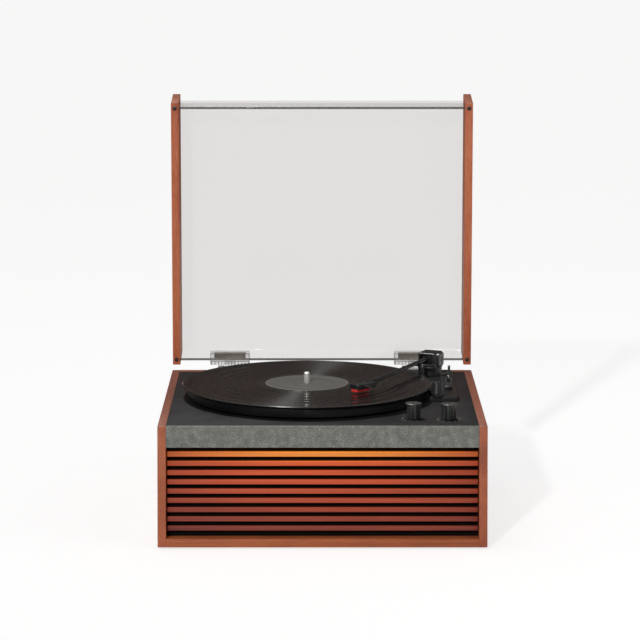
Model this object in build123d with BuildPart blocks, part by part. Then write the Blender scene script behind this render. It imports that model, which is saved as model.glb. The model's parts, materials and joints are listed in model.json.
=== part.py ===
from build123d import *
import math
import os

os.makedirs("parts", exist_ok=True)

# A record player in a wooden cabinet with a slatted speaker front and a hinged clear lid.
# The front faces -Y, +X is to the right and +Z is up. All sizes are in millimetres.
# The origin lies on the surface that the feet stand on, in the middle of the whole outline.

# Driving dimensions of the wooden cabinet
cabinet_width = 380.0
cabinet_depth = 354.0
cabinet_height = 140.5
panel_thickness = 9.6
bottom_board_thickness = 9.8
rear_rail_thickness = 12.0
rear_rail_height = 38.0
back_panel_thickness = 5.0
back_panel_recess = 3.0
wood_edge_round = 0.8
foot_stand = 2.5
foot_radius = 11.0
foot_inset = 24.0

# Driving dimensions of the deck plate and the fascia
deck_thickness = 4.0
fascia_height = 25.0
fascia_thickness = 4.0
fascia_recess = 0.4
fascia_edge_round = 0.6

# Driving dimensions of the slatted speaker front
slat_count = 9
slat_height = 5.9
slat_thickness = 8.0
slat_recess = 8.0
slat_end_gap = 1.2
slat_edge_round = 0.7
first_slat_drop = 6.1
last_slat_rise = 7.7
cloth_thickness = 3.0
baffle_thickness = 9.0
led_strip_end_gap = 10.4
led_strip_height = 7.0
led_strip_depth = 5.0
led_strip_rise = 0.6

# Driving dimensions of the loudspeakers
speaker_spacing = 210.0
speaker_drop = 72.0
speaker_hole_radius = 42.0
driver_flange_radius = 47.0
driver_flange_thickness = 2.5
driver_depth = 24.0
basket_lip = 5.0
surround_width = 1.0
basket_wall = 2.0
magnet_radius = 27.0
magnet_depth = 15.0
cone_thickness = 0.9
cone_depth = 17.0
dust_cap_radius = 11.0

# Driving dimensions of the platter, the record and their bearing
platter_x = -18.5
platter_back_shift = 1.0
platter_radius = 144.0
platter_gap = 3.0
platter_height = 10.0
platter_wall = 2.6
belt_ring_radius = 52.0
belt_ring_wall = 3.0
hub_radius = 12.0
hub_drop = 4.0
slipmat_radius = 145.0
slipmat_thickness = 2.0
record_radius = 150.8
record_thickness = 2.0
record_bead_width = 2.4
groove_drop = 0.35
label_radius = 50.0
label_thickness = 0.3
spindle_radius = 3.58
spindle_groove_radius = 3.0
spindle_groove_width = 0.6
spindle_tip_chamfer = 1.2
spindle_rise = 13.0
spindle_collar_radius = 8.0
bearing_flange_radius = 16.0
bearing_flange_thickness = 2.0
bearing_tube_radius = 8.0
bearing_depth = 22.0
thrust_floor = 3.0

# Driving dimensions of the motor and the belt
motor_radius = 17.5
motor_height = 24.0
motor_round = 1.5
motor_hole_play = 1.5
motor_distance = 82.0
motor_angle = 128.0
motor_shaft_radius = 1.0
motor_shaft_depth = 12.0
pulley_radius = 6.5
pulley_height = 5.4
pulley_lift = 4.0
belt_height = 4.0
belt_thickness = 0.8

# Driving dimensions of the tonearm
arm_pivot_x = 135.0
arm_pivot_from_back = 59.0
arm_axis_height = 26.5
arm_angle = 25.0
head_offset_angle = 23.3
arm_tube_radius = 2.5
arm_tube_length = 184.0
turret_radius = 15.0
turret_shaft_radius = 4.0
turret_shaft_depth = 12.0
housing_length = 26.0
housing_width = 24.0
housing_shift = -1.0
housing_low = 14.0
housing_top = 33.8
housing_round = 3.0
tunnel_width = 16.4
tunnel_low = 18.6
tunnel_top = 31.4
pivot_block_length = 18.0
pivot_block_height = 8.4
pivot_block_round = 2.0
axle_radius = 1.5
axle_hole_depth = 2.2
cap_size = 16.0
cap_thickness = 3.5
cap_screw_radius = 2.6
cap_screw_depth = 0.6
cap_drop = 1.0
tail_drop = 3.1
tail_length = 31.0
tail_radius = 2.4
weight_radius = 5.5
weight_length = 14.0
weight_chamfer = 0.6
headshell_length = 31.0
headshell_width = 15.0
headshell_thickness = 2.4
headshell_wall = 1.3
headshell_skirt = 3.6
headshell_corner = 2.5
headshell_round = 0.8
headshell_overlap = 4.0
headshell_mouth = 2.0
collar_length = 12.0
collar_radius = 4.2
collar_reach = 3.0
collar_drop = 0.6
finger_length = 13.0
finger_thickness = 1.1
finger_width = 5.0
finger_corner = 1.2
finger_from_tip = 14.0
finger_root = 1.0
cartridge_length = 17.0
cartridge_width = 11.0
cartridge_height = 3.8
cartridge_corner = 1.0
cartridge_start = 9.5
stylus_length = 22.0
stylus_width = 9.4
stylus_corner = 1.5
stylus_chamfer = 0.8
tip_taper = 12.0
stylus_clearance = 1.2
tip_radius = 0.6
tip_back = 4.0
tip_clearance = 0.2

# Driving dimensions of the tonearm base, the arm rest and the cue
base_width = 64.0
base_length = 182.0
base_centre_x = 132.0
base_centre_from_back = 115.0
base_height = 5.0
base_corner = 7.0
base_edge_round = 1.0
base_platter_clearance = 6.0
base_boss_radius = 8.0
rest_distance = 145.0
rest_angle = -1.2
rest_radius = 6.25
rest_wall_top = 31.2
rest_collar_radius = 7.2
rest_collar_height = 6.0
clip_reach = 10.5
clip_thickness = 1.5
clip_width = 7.0
clip_hook = 2.6
clip_barrel_radius = 1.5
clip_pin_radius = 0.6
clip_ear_inset = 1.2
clip_ear_play = 0.2
clip_slot_play = 0.4
clip_open_angle = 165.0
lift_radius = 34.0
lift_bar_width = 3.2
lift_bar_height = 2.6
lift_bar_inner_angle = 43.0
lift_bar_outer_angle = -7.0
lift_stem_radius = 2.5
cue_x = 157.0
cue_from_back = 99.0
cue_axis_height = 8.0
cue_lever_top = 22.0
cue_lever_width = 3.0
cue_knob_radius = 2.1
cue_disc_radius = 4.2
cue_pin_radius = 1.0
cue_ear_width = 2.5
cue_ear_wall = 1.2
cue_slot_play = 1.0
slider_x = 154.0
slider_from_back = 154.0
slider_travel = 5.0
slider_width = 9.0
slider_length = 7.0
slider_rise = 3.2
slider_corner = 0.8
slider_shank_width = 2.6
slider_shank_length = 5.0
ridge_depth = 0.6

# Driving dimensions of the knobs and their pots
source_knob_from_right = 84.0
source_knob_behind = 42.0
volume_knob_from_right = 43.0
volume_knob_behind = 39.0
knob_radius = 8.2
knob_rim_radius = 9.7
knob_rim_height = 1.2
knob_height = 18.0
knob_gap = 0.9
knob_round = 0.5
knob_shaft_radius = 3.0
knob_shaft_depth = 10.0
pointer_width = 1.0
pointer_length = 5.0
pointer_offset = 5.5
pointer_depth = 0.4
pot_bushing_radius = 4.5
pot_radius = 8.5
pot_height = 12.0

# Driving dimensions of the amplifier board and the back sockets
board_length = 130.0
board_depth = 82.0
board_thickness = 1.6
board_from_back = 139.0
board_x = 70.0
standoff_height = 8.0
standoff_radius = 3.5
standoff_inset = 6.0
capacitor_radius = 7.0
capacitor_height = 20.0
capacitor_pitch = 22.0
heat_sink_length = 60.0
heat_sink_depth = 8.0
heat_sink_height = 16.0
chip_length = 12.0
chip_depth = 10.0
chip_height = 3.0
chip_pitch = 30.0
socket_drop = 86.0
rca_barrel_radius = 4.15
rca_barrel_length = 8.0
rca_bore_radius = 1.6
rca_pitch = 16.0
rca_x = -60.0
aux_bore_radius = 1.78
aux_x = -110.0
dc_bore_radius = 2.75
dc_x = 60.0
jack_flange_radius = 6.5
jack_flange_thickness = 1.2
jack_body_radius = 5.0
jack_body_length = 14.0
jack_bore_length = 12.0

# Driving dimensions of the lid and its hinges
lid_lean = 7.0
lid_length = 340.0
lid_side_gap = 0.3
cheek_thickness = 9.6
cheek_height = 56.0
lid_seat_gap = 1.0
sheet_thickness = 3.0
sheet_height = 43.0
sheet_end_inset = 5.0
sheet_edge_inset = 2.0
sheet_bend_radius = 4.0
bumper_radius = 2.7
bumper_proud = 0.9
bumper_sunk = 2.0
bumper_inset = 6.6
hinge_spacing = 234.0
hinge_width = 50.6
pin_behind = 5.0
pin_rise = 1.0
pin_radius = 1.5
barrel_radius = 3.3
barrel_length = 14.0
leaf_width = 39.7
leaf_thickness = 5.7
leaf_depth = 7.0
tongue_thickness = 1.4
socket_start = 4.6
socket_length = 16.0
socket_depth = 10.4
socket_front_gap = 0.4
ear_radius = 3.7
ear_width = 8.0
ear_foot_drop = 10.0
hinge_plate_thickness = 3.0
hinge_plate_height = 30.0
hinge_plate_drop = 2.0
hinge_plate_corner = 2.0
hinge_screw_side = 2.0
hinge_screw_low = 3.0
tongue_root = 1.0

# Driving dimensions of the wood screws
screw_head_radius = 3.0
screw_head_height = 1.5
screw_shank_radius = 1.6
screw_length = 8.0
screw_cross_width = 0.9
screw_cross_length = 3.6
screw_cross_depth = 0.9

# Clearances: running fits, gaps between bodies, and play within one body
running_fit = 0.05
slide_fit = 0.1
body_gap = 0.3
fit_play = 0.02

# Levels and widths worked out from the driving dimensions
top_z = foot_stand + cabinet_height
board_top_z = foot_stand + bottom_board_thickness
inner_width = cabinet_width - 2 * panel_thickness
led_strip_length = inner_width - 2 * led_strip_end_gap
slats_span = cabinet_height - fascia_height - bottom_board_thickness - first_slat_drop - last_slat_rise
slat_pitch = (slats_span - slat_height) / (slat_count - 1)
platter_behind = cabinet_depth / 2 + platter_back_shift
arm_pivot_behind = cabinet_depth - arm_pivot_from_back
base_centre_behind = cabinet_depth - base_centre_from_back
cue_behind = cabinet_depth - cue_from_back
slider_behind = cabinet_depth - slider_from_back
board_behind = cabinet_depth - board_from_back
source_knob_x = cabinet_width / 2 - source_knob_from_right
volume_knob_x = cabinet_width / 2 - volume_knob_from_right
lid_closing_angle = 90.0 - lid_lean
lean_sine = math.sin(math.radians(lid_lean))
lean_cosine = math.cos(math.radians(lid_lean))
lid_start = pin_behind
lid_low = lid_seat_gap - pin_rise
lid_back_reach = pin_behind - lid_start * lean_sine + (lid_low + cheek_height) * lean_cosine
front_y = -(cabinet_depth + lid_back_reach) / 2

platter_low = platter_gap
platter_top = platter_low + platter_height
slipmat_top = platter_top + slipmat_thickness
record_top = slipmat_top + record_thickness
spindle_top = record_top + spindle_rise
cloth_behind = slat_recess + slat_thickness
baffle_behind = cloth_behind + cloth_thickness
driver_behind = baffle_behind + baffle_thickness
inner_height = top_z - deck_thickness - board_top_z


def level(x, behind, height):
    """A horizontal plane at a place on the cabinet, measured from its front and its top."""
    return Plane(origin=(x, front_y + behind, top_z + height))


def facing_front(x, behind, height):
    """An upright plane that faces forwards, with its own y upwards."""
    return Plane(origin=(x, front_y + behind, top_z + height), x_dir=(1, 0, 0), z_dir=(0, -1, 0))


def facing_back(x, behind, height):
    """An upright plane that faces backwards, with its own y upwards."""
    return Plane(origin=(x, front_y + behind, top_z + height), x_dir=(-1, 0, 0), z_dir=(0, 1, 0))


def facing_right(x, behind, height):
    """An upright plane that faces right: its own x runs backwards and its own y upwards."""
    return Plane(origin=(x, front_y + behind, top_z + height), x_dir=(0, 1, 0), z_dir=(1, 0, 0))


def wood_screw(plane):
    """A cross-head screw whose head rests on the plane and whose shank goes in behind it."""
    with BuildPart() as screw:
        with BuildSketch(plane):
            Circle(screw_head_radius)
        extrude(amount=screw_head_height)
        with BuildSketch(plane):
            Circle(screw_shank_radius)
        extrude(amount=-screw_length)
        with BuildSketch(plane.offset(screw_head_height)):
            Rectangle(screw_cross_length, screw_cross_width)
            Rectangle(screw_cross_width, screw_cross_length)
        extrude(amount=-screw_cross_depth, mode=Mode.SUBTRACT)
    return screw.part


# The places of the feet and of the wood screws
foot_xs = (-cabinet_width / 2 + foot_inset, cabinet_width / 2 - foot_inset)
foot_behinds = (foot_inset, cabinet_depth - foot_inset)
foot_places = [(x, behind) for x in foot_xs for behind in foot_behinds]
foot_recess = foot_stand - screw_head_height - body_gap
hinge_xs = (-hinge_spacing / 2, hinge_spacing / 2)
hinge_screw_reach = hinge_width / 2 - screw_head_radius - hinge_screw_side
hinge_screw_drop = hinge_plate_drop + hinge_plate_height - screw_head_radius - hinge_screw_low
hinge_screw_places = [
    (x + side * hinge_screw_reach, -hinge_screw_drop) for x in hinge_xs for side in (-1, 1)
]

# The side panels: one board each, standing at the full height and depth of the cabinet
with BuildPart() as left_side_panel:
    with BuildSketch(facing_right(-cabinet_width / 2, cabinet_depth / 2, -cabinet_height / 2)):
        Rectangle(cabinet_depth, cabinet_height)
    extrude(amount=panel_thickness)
    fillet(left_side_panel.faces().sort_by(Axis.X)[0].edges(), radius=wood_edge_round)
left_side_panel.part.label = "left_side_panel"
export_step(left_side_panel.part, "parts/left_side_panel.step")

with BuildPart() as right_side_panel:
    with BuildSketch(facing_right(inner_width / 2, cabinet_depth / 2, -cabinet_height / 2)):
        Rectangle(cabinet_depth, cabinet_height)
    extrude(amount=panel_thickness)
    fillet(right_side_panel.faces().sort_by(Axis.X)[-1].edges(), radius=wood_edge_round)
right_side_panel.part.label = "right_side_panel"
export_step(right_side_panel.part, "parts/right_side_panel.step")

# The bottom board lies between the side panels and takes the screws of the feet
with BuildPart() as bottom_board:
    with BuildSketch(level(0, cabinet_depth / 2, -cabinet_height)):
        Rectangle(inner_width, cabinet_depth)
    extrude(amount=bottom_board_thickness)
    with BuildSketch(level(0, 0, -cabinet_height)):
        with Locations(*foot_places):
            Circle(screw_shank_radius + fit_play)
    extrude(amount=screw_length - foot_recess, mode=Mode.SUBTRACT)
bottom_board.part.label = "bottom_board"
export_step(bottom_board.part, "parts/bottom_board.step")

# The rear rail runs along the top of the back, and the hinges are screwed to it
with BuildPart() as rear_rail:
    rail_middle = cabinet_depth - rear_rail_thickness / 2
    with BuildSketch(level(0, rail_middle, -rear_rail_height)):
        Rectangle(inner_width, rear_rail_thickness)
    extrude(amount=rear_rail_height)
    with BuildSketch(facing_back(0, cabinet_depth, 0)):
        with Locations(*[(-x, height) for x, height in hinge_screw_places]):
            Circle(screw_shank_radius + fit_play)
    extrude(amount=-screw_length, mode=Mode.SUBTRACT)
rear_rail.part.label = "rear_rail"
export_step(rear_rail.part, "parts/rear_rail.step")

# The back panel closes the back below the rail and holds the sockets
panel_low = board_top_z - top_z
panel_height = -rear_rail_height - panel_low
panel_back = cabinet_depth - back_panel_recess
socket_height = -socket_drop
rca_places = [(rca_x - rca_pitch / 2, socket_height), (rca_x + rca_pitch / 2, socket_height)]
with BuildPart() as back_panel:
    with BuildSketch(facing_back(0, panel_back, panel_low + panel_height / 2)):
        Rectangle(inner_width, panel_height)
    extrude(amount=-back_panel_thickness)
    with BuildSketch(facing_back(0, panel_back, 0)):
        with Locations(*[(-x, height) for x, height in rca_places]):
            Circle(jack_body_radius + fit_play)
        with Locations((-aux_x, socket_height), (-dc_x, socket_height)):
            Circle(jack_body_radius + fit_play)
    extrude(amount=-back_panel_thickness, mode=Mode.SUBTRACT)
back_panel.part.label = "back_panel"
export_step(back_panel.part, "parts/back_panel.step")

# The deck plate: the flat black top, with holes for the bearing, motor, arm and pots
deck_front = fascia_recess + fascia_thickness
deck_back = cabinet_depth - rear_rail_thickness
motor_x = platter_x + motor_distance * math.cos(math.radians(motor_angle))
motor_behind = platter_behind + motor_distance * math.sin(math.radians(motor_angle))
motor_hole_radius = pulley_radius + motor_hole_play
pot_places = [(source_knob_x, source_knob_behind), (volume_knob_x, volume_knob_behind)]
with BuildPart() as deck_plate:
    with BuildSketch(level(0, (deck_front + deck_back) / 2, -deck_thickness)):
        Rectangle(inner_width, deck_back - deck_front)
    extrude(amount=deck_thickness)
    with BuildSketch(level(0, 0, 0)):
        with Locations((platter_x, platter_behind)):
            Circle(bearing_tube_radius + fit_play)
        with Locations((motor_x, motor_behind)):
            Circle(motor_hole_radius)
        with Locations((arm_pivot_x, arm_pivot_behind)):
            Circle(base_boss_radius + fit_play)
        with Locations(*pot_places):
            Circle(pot_bushing_radius + fit_play)
    extrude(amount=-deck_thickness, mode=Mode.SUBTRACT)
deck_plate.part.label = "deck_plate"
export_step(deck_plate.part, "parts/deck_plate.step")

# The fascia: a flat textured bar across the front, under the edge of the deck
with BuildPart() as front_fascia:
    with BuildSketch(facing_front(0, fascia_recess, -fascia_height / 2)):
        Rectangle(inner_width, fascia_height)
    extrude(amount=-fascia_thickness)
    front_edges = front_fascia.faces().sort_by(Axis.Y)[0].edges().filter_by(Axis.X)
    fillet(front_edges, radius=fascia_edge_round)
front_fascia.part.label = "front_fascia"
export_step(front_fascia.part, "parts/front_fascia.step")

# The light strip lies behind the fascia and shines down on the slats
with BuildPart() as led_strip:
    strip_middle = -fascia_height + led_strip_rise + led_strip_height / 2
    with BuildSketch(facing_front(0, deck_front, strip_middle)):
        Rectangle(led_strip_length, led_strip_height)
    extrude(amount=-led_strip_depth)
led_strip.part.label = "led_strip"
export_step(led_strip.part, "parts/led_strip.step")

# The slats: level wooden bars glued to the cloth frame behind them
first_slat_top = -fascia_height - first_slat_drop
for slat_number in range(1, slat_count + 1):
    slat_middle = first_slat_top - slat_height / 2 - (slat_number - 1) * slat_pitch
    with BuildPart() as grille_slat:
        with BuildSketch(facing_front(0, slat_recess, slat_middle)):
            Rectangle(inner_width - 2 * slat_end_gap, slat_height)
        extrude(amount=-slat_thickness)
        slat_front_edges = grille_slat.faces().sort_by(Axis.Y)[0].edges().filter_by(Axis.X)
        fillet(slat_front_edges, radius=slat_edge_round)
    grille_slat.part.label = f"grille_slat_{slat_number}"
    export_step(grille_slat.part, f"parts/grille_slat_{slat_number}.step")

# The grille cloth is stretched over a thin board between the deck and the bottom board
inner_middle = -deck_thickness - inner_height / 2
with BuildPart() as grille_cloth:
    with BuildSketch(facing_front(0, cloth_behind, inner_middle)):
        Rectangle(inner_width, inner_height)
    extrude(amount=-cloth_thickness)
grille_cloth.part.label = "grille_cloth"
export_step(grille_cloth.part, "parts/grille_cloth.step")

# The speaker baffle carries both loudspeakers behind the cloth
speaker_xs = (-speaker_spacing / 2, speaker_spacing / 2)
with BuildPart() as speaker_baffle:
    with BuildSketch(facing_front(0, baffle_behind, inner_middle)):
        Rectangle(inner_width, inner_height)
    extrude(amount=-baffle_thickness)
    with BuildSketch(facing_front(0, baffle_behind, -speaker_drop)):
        with Locations(*[(x, 0) for x in speaker_xs]):
            Circle(speaker_hole_radius)
    extrude(amount=-baffle_thickness, mode=Mode.SUBTRACT)
speaker_baffle.part.label = "speaker_baffle"
export_step(speaker_baffle.part, "parts/speaker_baffle.step")

# The drivers: pressed baskets with their magnets, screwed to the back of the baffle
cone_rim_radius = speaker_hole_radius - body_gap
basket_mouth = speaker_hole_radius - basket_lip
with BuildPart() as speaker_drivers:
    for x in speaker_xs:
        with BuildSketch(facing_right(x, driver_behind, -speaker_drop)):
            with BuildLine():
                Polyline(
                    (0, basket_mouth),
                    (0, driver_flange_radius),
                    (driver_flange_thickness, driver_flange_radius),
                    (driver_flange_thickness, basket_mouth + basket_wall),
                    (driver_depth, magnet_radius),
                    (driver_depth + magnet_depth, magnet_radius),
                    (driver_depth + magnet_depth, 0),
                    (driver_depth, 0),
                    (driver_depth - basket_wall, magnet_radius - basket_wall),
                    close=True,
                )
            make_face()
        revolve(axis=Axis((x, front_y + driver_behind, top_z - speaker_drop), (0, 1, 0)))
speaker_drivers.part.label = "speaker_drivers"
export_step(speaker_drivers.part, "parts/speaker_drivers.step")

# The cones: paper cones with a flat rim on the basket and a dust cap in the middle
with BuildPart() as speaker_cones:
    for x in speaker_xs:
        with BuildSketch(facing_right(x, driver_behind, -speaker_drop)):
            with BuildLine():
                Polyline(
                    (0, cone_rim_radius),
                    (-cone_thickness, cone_rim_radius),
                    (-cone_thickness, basket_mouth - surround_width),
                    (cone_depth - cone_thickness, dust_cap_radius),
                    (cone_depth - dust_cap_radius / 2, 0),
                    (cone_depth, 0),
                    (cone_depth, dust_cap_radius),
                    (0, basket_mouth - surround_width),
                    close=True,
                )
            make_face()
        revolve(axis=Axis((x, front_y + driver_behind, top_z - speaker_drop), (0, 1, 0)))
speaker_cones.part.label = "speaker_cones"
export_step(speaker_cones.part, "parts/speaker_cones.step")

# The rubber feet: four discs, each with a recess for its screw
with BuildPart() as rubber_feet:
    with BuildSketch(level(0, 0, -cabinet_height)):
        with Locations(*foot_places):
            Circle(foot_radius)
    extrude(amount=-foot_stand)
    with BuildSketch(level(0, 0, -cabinet_height - foot_recess)):
        with Locations(*foot_places):
            Circle(screw_head_radius + body_gap)
    extrude(amount=-foot_stand, mode=Mode.SUBTRACT)
    with BuildSketch(level(0, 0, -cabinet_height)):
        with Locations(*foot_places):
            Circle(screw_shank_radius + fit_play)
    extrude(amount=-foot_stand, mode=Mode.SUBTRACT)
rubber_feet.part.label = "rubber_feet"
export_step(rubber_feet.part, "parts/rubber_feet.step")

# The wood screws hold the feet and the hinge plates
foot_screws = [
    wood_screw(
        Plane(
            origin=(x, front_y + behind, top_z - cabinet_height - foot_recess),
            x_dir=(1, 0, 0),
            z_dir=(0, 0, -1),
        )
    )
    for x, behind in foot_places
]
hinge_screws = [
    wood_screw(facing_back(x, cabinet_depth + hinge_plate_thickness, height))
    for x, height in hinge_screw_places
]
with BuildPart() as wood_screws:
    for screw in foot_screws + hinge_screws:
        add(screw)
wood_screws.part.label = "wood_screws"
export_step(wood_screws.part, "parts/wood_screws.step")

# The platter: a pressed dish with a rim, a ring for the belt and a hub
with BuildPart() as platter:
    with BuildSketch(level(platter_x, platter_behind, platter_low)):
        Circle(platter_radius)
    extrude(amount=platter_height)
    top_edge = platter.edges().group_by(Axis.Z)[-1]
    fillet(top_edge, radius=platter_wall / 2)
    with BuildSketch(level(platter_x, platter_behind, platter_low)):
        Circle(platter_radius - platter_wall)
        Circle(belt_ring_radius, mode=Mode.SUBTRACT)
        Circle(belt_ring_radius - belt_ring_wall)
    extrude(amount=platter_height - platter_wall, mode=Mode.SUBTRACT)
    with BuildSketch(level(platter_x, platter_behind, platter_low + platter_height - platter_wall)):
        Circle(hub_radius)
    extrude(amount=-hub_drop)
    with BuildSketch(level(platter_x, platter_behind, 0)):
        Circle(spindle_radius + fit_play)
    extrude(amount=platter_top, mode=Mode.SUBTRACT)
platter.part.label = "platter"
export_step(platter.part, "parts/platter.step")

# The slipmat: a felt disc on the platter
with BuildPart() as slipmat:
    with BuildSketch(level(platter_x, platter_behind, platter_top)):
        Circle(slipmat_radius)
        Circle(spindle_radius + fit_play, mode=Mode.SUBTRACT)
    extrude(amount=slipmat_thickness)
slipmat.part.label = "slipmat"
export_step(slipmat.part, "parts/slipmat.step")

# The record: a pressed disc with a raised bead at its edge and around its label
groove_top = record_thickness - groove_drop
record_hole_radius = spindle_radius + fit_play
label_seat_radius = label_radius + fit_play
with BuildPart() as vinyl_record:
    with BuildSketch(facing_right(platter_x, platter_behind, slipmat_top)):
        with BuildLine():
            Polyline(
                (record_hole_radius, 0),
                (record_radius - record_bead_width / 2, 0),
                (record_radius, record_thickness / 2),
                (record_radius - record_bead_width / 2, record_thickness),
                (record_radius - record_bead_width, groove_top),
                (label_seat_radius, groove_top),
                (label_seat_radius, record_thickness - label_thickness),
                (record_hole_radius, record_thickness - label_thickness),
                close=True,
            )
        make_face()
    revolve(axis=Axis((platter_x, front_y + platter_behind, top_z), (0, 0, 1)))
vinyl_record.part.label = "vinyl_record"
export_step(vinyl_record.part, "parts/vinyl_record.step")

# The label: a paper disc pressed into the middle of the record
with BuildPart() as record_label:
    with BuildSketch(level(platter_x, platter_behind, record_top - label_thickness)):
        Circle(label_radius)
        Circle(record_hole_radius, mode=Mode.SUBTRACT)
    extrude(amount=label_thickness)
record_label.part.label = "record_label"
export_step(record_label.part, "parts/record_label.step")

# The spindle: a steel pin with a collar under the hub and a turned groove above the record
hub_low = platter_low + platter_height - platter_wall - hub_drop
collar_low = bearing_flange_thickness + body_gap
spindle_foot = -bearing_depth + thrust_floor + running_fit
with BuildPart() as spindle:
    with BuildSketch(level(platter_x, platter_behind, spindle_foot)):
        Circle(spindle_radius)
    extrude(amount=spindle_top - spindle_foot)
    chamfer(spindle.edges().group_by(Axis.Z)[-1], length=spindle_tip_chamfer)
    with BuildSketch(level(platter_x, platter_behind, record_top)):
        Circle(spindle_radius + fit_play)
        Circle(spindle_groove_radius, mode=Mode.SUBTRACT)
    extrude(amount=spindle_groove_width, mode=Mode.SUBTRACT)
    with BuildSketch(level(platter_x, platter_behind, collar_low)):
        Circle(spindle_collar_radius)
    extrude(amount=hub_low - collar_low)
spindle.part.label = "spindle"
export_step(spindle.part, "parts/spindle.step")

# The bearing housing: a flanged brass tube in the deck, closed at its foot
with BuildPart() as bearing_housing:
    with BuildSketch(level(platter_x, platter_behind, 0)):
        Circle(bearing_flange_radius)
    extrude(amount=bearing_flange_thickness)
    with BuildSketch(level(platter_x, platter_behind, 0)):
        Circle(bearing_tube_radius)
    extrude(amount=-bearing_depth)
    with BuildSketch(level(platter_x, platter_behind, bearing_flange_thickness)):
        Circle(spindle_radius + running_fit)
    extrude(amount=thrust_floor - bearing_depth - bearing_flange_thickness, mode=Mode.SUBTRACT)
bearing_housing.part.label = "bearing_housing"
export_step(bearing_housing.part, "parts/bearing_housing.step")

# The motor hangs under the deck
with BuildPart() as motor:
    with BuildSketch(level(motor_x, motor_behind, -deck_thickness)):
        Circle(motor_radius)
    extrude(amount=-motor_height)
    fillet(motor.edges().group_by(Axis.Z)[0], radius=motor_round)
    with BuildSketch(level(motor_x, motor_behind, -deck_thickness)):
        Circle(motor_shaft_radius + running_fit)
    extrude(amount=-motor_shaft_depth, mode=Mode.SUBTRACT)
motor.part.label = "motor"
export_step(motor.part, "parts/motor.step")

# The motor pulley stands on the motor's shaft, inside the dish of the platter
shaft_foot = -deck_thickness - motor_shaft_depth + running_fit
with BuildPart() as motor_pulley:
    with BuildSketch(level(motor_x, motor_behind, pulley_lift)):
        Circle(pulley_radius)
    extrude(amount=pulley_height)
    with BuildSketch(level(motor_x, motor_behind, shaft_foot)):
        Circle(motor_shaft_radius)
    extrude(amount=pulley_lift - shaft_foot)
motor_pulley.part.label = "motor_pulley"
export_step(motor_pulley.part, "parts/motor_pulley.step")

# The belt: a flat band round the pulley and the ring under the platter
belt_low = pulley_lift + (pulley_height - belt_height) / 2
with BuildSketch(level(0, 0, belt_low)) as belt_inside:
    with Locations((platter_x, platter_behind)):
        Circle(belt_ring_radius + body_gap)
    with Locations((motor_x, motor_behind)):
        Circle(pulley_radius + body_gap)
    make_hull()
with BuildSketch(level(0, 0, belt_low)) as belt_outside:
    with Locations((platter_x, platter_behind)):
        Circle(belt_ring_radius + body_gap + belt_thickness)
    with Locations((motor_x, motor_behind)):
        Circle(pulley_radius + body_gap + belt_thickness)
    make_hull()
with BuildPart() as drive_belt:
    extrude(belt_outside.sketch, amount=belt_height)
    extrude(belt_inside.sketch, amount=belt_height, mode=Mode.SUBTRACT)
drive_belt.part.label = "drive_belt"
export_step(drive_belt.part, "parts/drive_belt.step")

# The amplifier board stands on four posts on the bottom board
post_reach_x = board_length / 2 - standoff_inset
post_reach_y = board_depth / 2 - standoff_inset
board_low = panel_low + standoff_height
with BuildPart() as amplifier_board:
    with BuildSketch(level(board_x, board_behind, board_low)):
        Rectangle(board_length, board_depth)
    extrude(amount=board_thickness)
    with BuildSketch(level(board_x, board_behind, board_low)):
        with GridLocations(2 * post_reach_x, 2 * post_reach_y, 2, 2):
            Circle(standoff_radius)
    extrude(amount=-standoff_height)
    with BuildSketch(level(board_x, board_behind, board_low + board_thickness)):
        with GridLocations(capacitor_pitch, 0, 3, 1):
            Circle(capacitor_radius)
    extrude(amount=capacitor_height)
    with BuildSketch(level(board_x, board_behind + board_depth / 4, board_low + board_thickness)):
        Rectangle(heat_sink_length, heat_sink_depth)
    extrude(amount=heat_sink_height)
    with BuildSketch(level(board_x, board_behind - board_depth / 4, board_low + board_thickness)):
        with GridLocations(chip_pitch, 0, 3, 1):
            Rectangle(chip_length, chip_depth)
    extrude(amount=chip_height)
amplifier_board.part.label = "amplifier_board"
export_step(amplifier_board.part, "parts/amplifier_board.step")

# The pots hang under the deck, each with a threaded bushing up through its hole
bushing_top = knob_gap - body_gap
knob_shaft_low = -knob_shaft_depth
with BuildPart() as control_pots:
    with BuildSketch(level(0, 0, -deck_thickness)):
        with Locations(*pot_places):
            Circle(pot_radius)
    extrude(amount=-pot_height)
    with BuildSketch(level(0, 0, -deck_thickness)):
        with Locations(*pot_places):
            Circle(pot_bushing_radius)
    extrude(amount=deck_thickness + bushing_top)
    with BuildSketch(level(0, 0, bushing_top)):
        with Locations(*pot_places):
            Circle(knob_shaft_radius + slide_fit)
    extrude(amount=knob_shaft_low - body_gap - bushing_top, mode=Mode.SUBTRACT)
control_pots.part.label = "control_pots"
export_step(control_pots.part, "parts/control_pots.step")

# The knobs: plain round caps with a thin wider rim and a pointer line, each on its own shaft
for knob_name, knob_x, knob_behind in (
    ("source_knob", source_knob_x, source_knob_behind),
    ("volume_knob", volume_knob_x, volume_knob_behind),
):
    with BuildPart() as knob:
        with BuildSketch(level(knob_x, knob_behind, knob_gap)):
            Circle(knob_radius)
        extrude(amount=knob_height)
        with BuildSketch(level(knob_x, knob_behind, knob_gap + knob_height)):
            Circle(knob_rim_radius)
        extrude(amount=-knob_rim_height)
        fillet(knob.edges().group_by(Axis.Z)[-1], radius=knob_round)
        with BuildSketch(level(knob_x, knob_behind, knob_gap)):
            Circle(knob_shaft_radius)
        extrude(amount=knob_shaft_low - knob_gap)
        pointer_behind = knob_behind - pointer_offset
        with BuildSketch(level(knob_x, pointer_behind, knob_gap + knob_height)):
            Rectangle(pointer_width, pointer_length)
        extrude(amount=-pointer_depth, mode=Mode.SUBTRACT)
    knob.part.label = knob_name
    export_step(knob.part, f"parts/{knob_name}.step")

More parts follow.
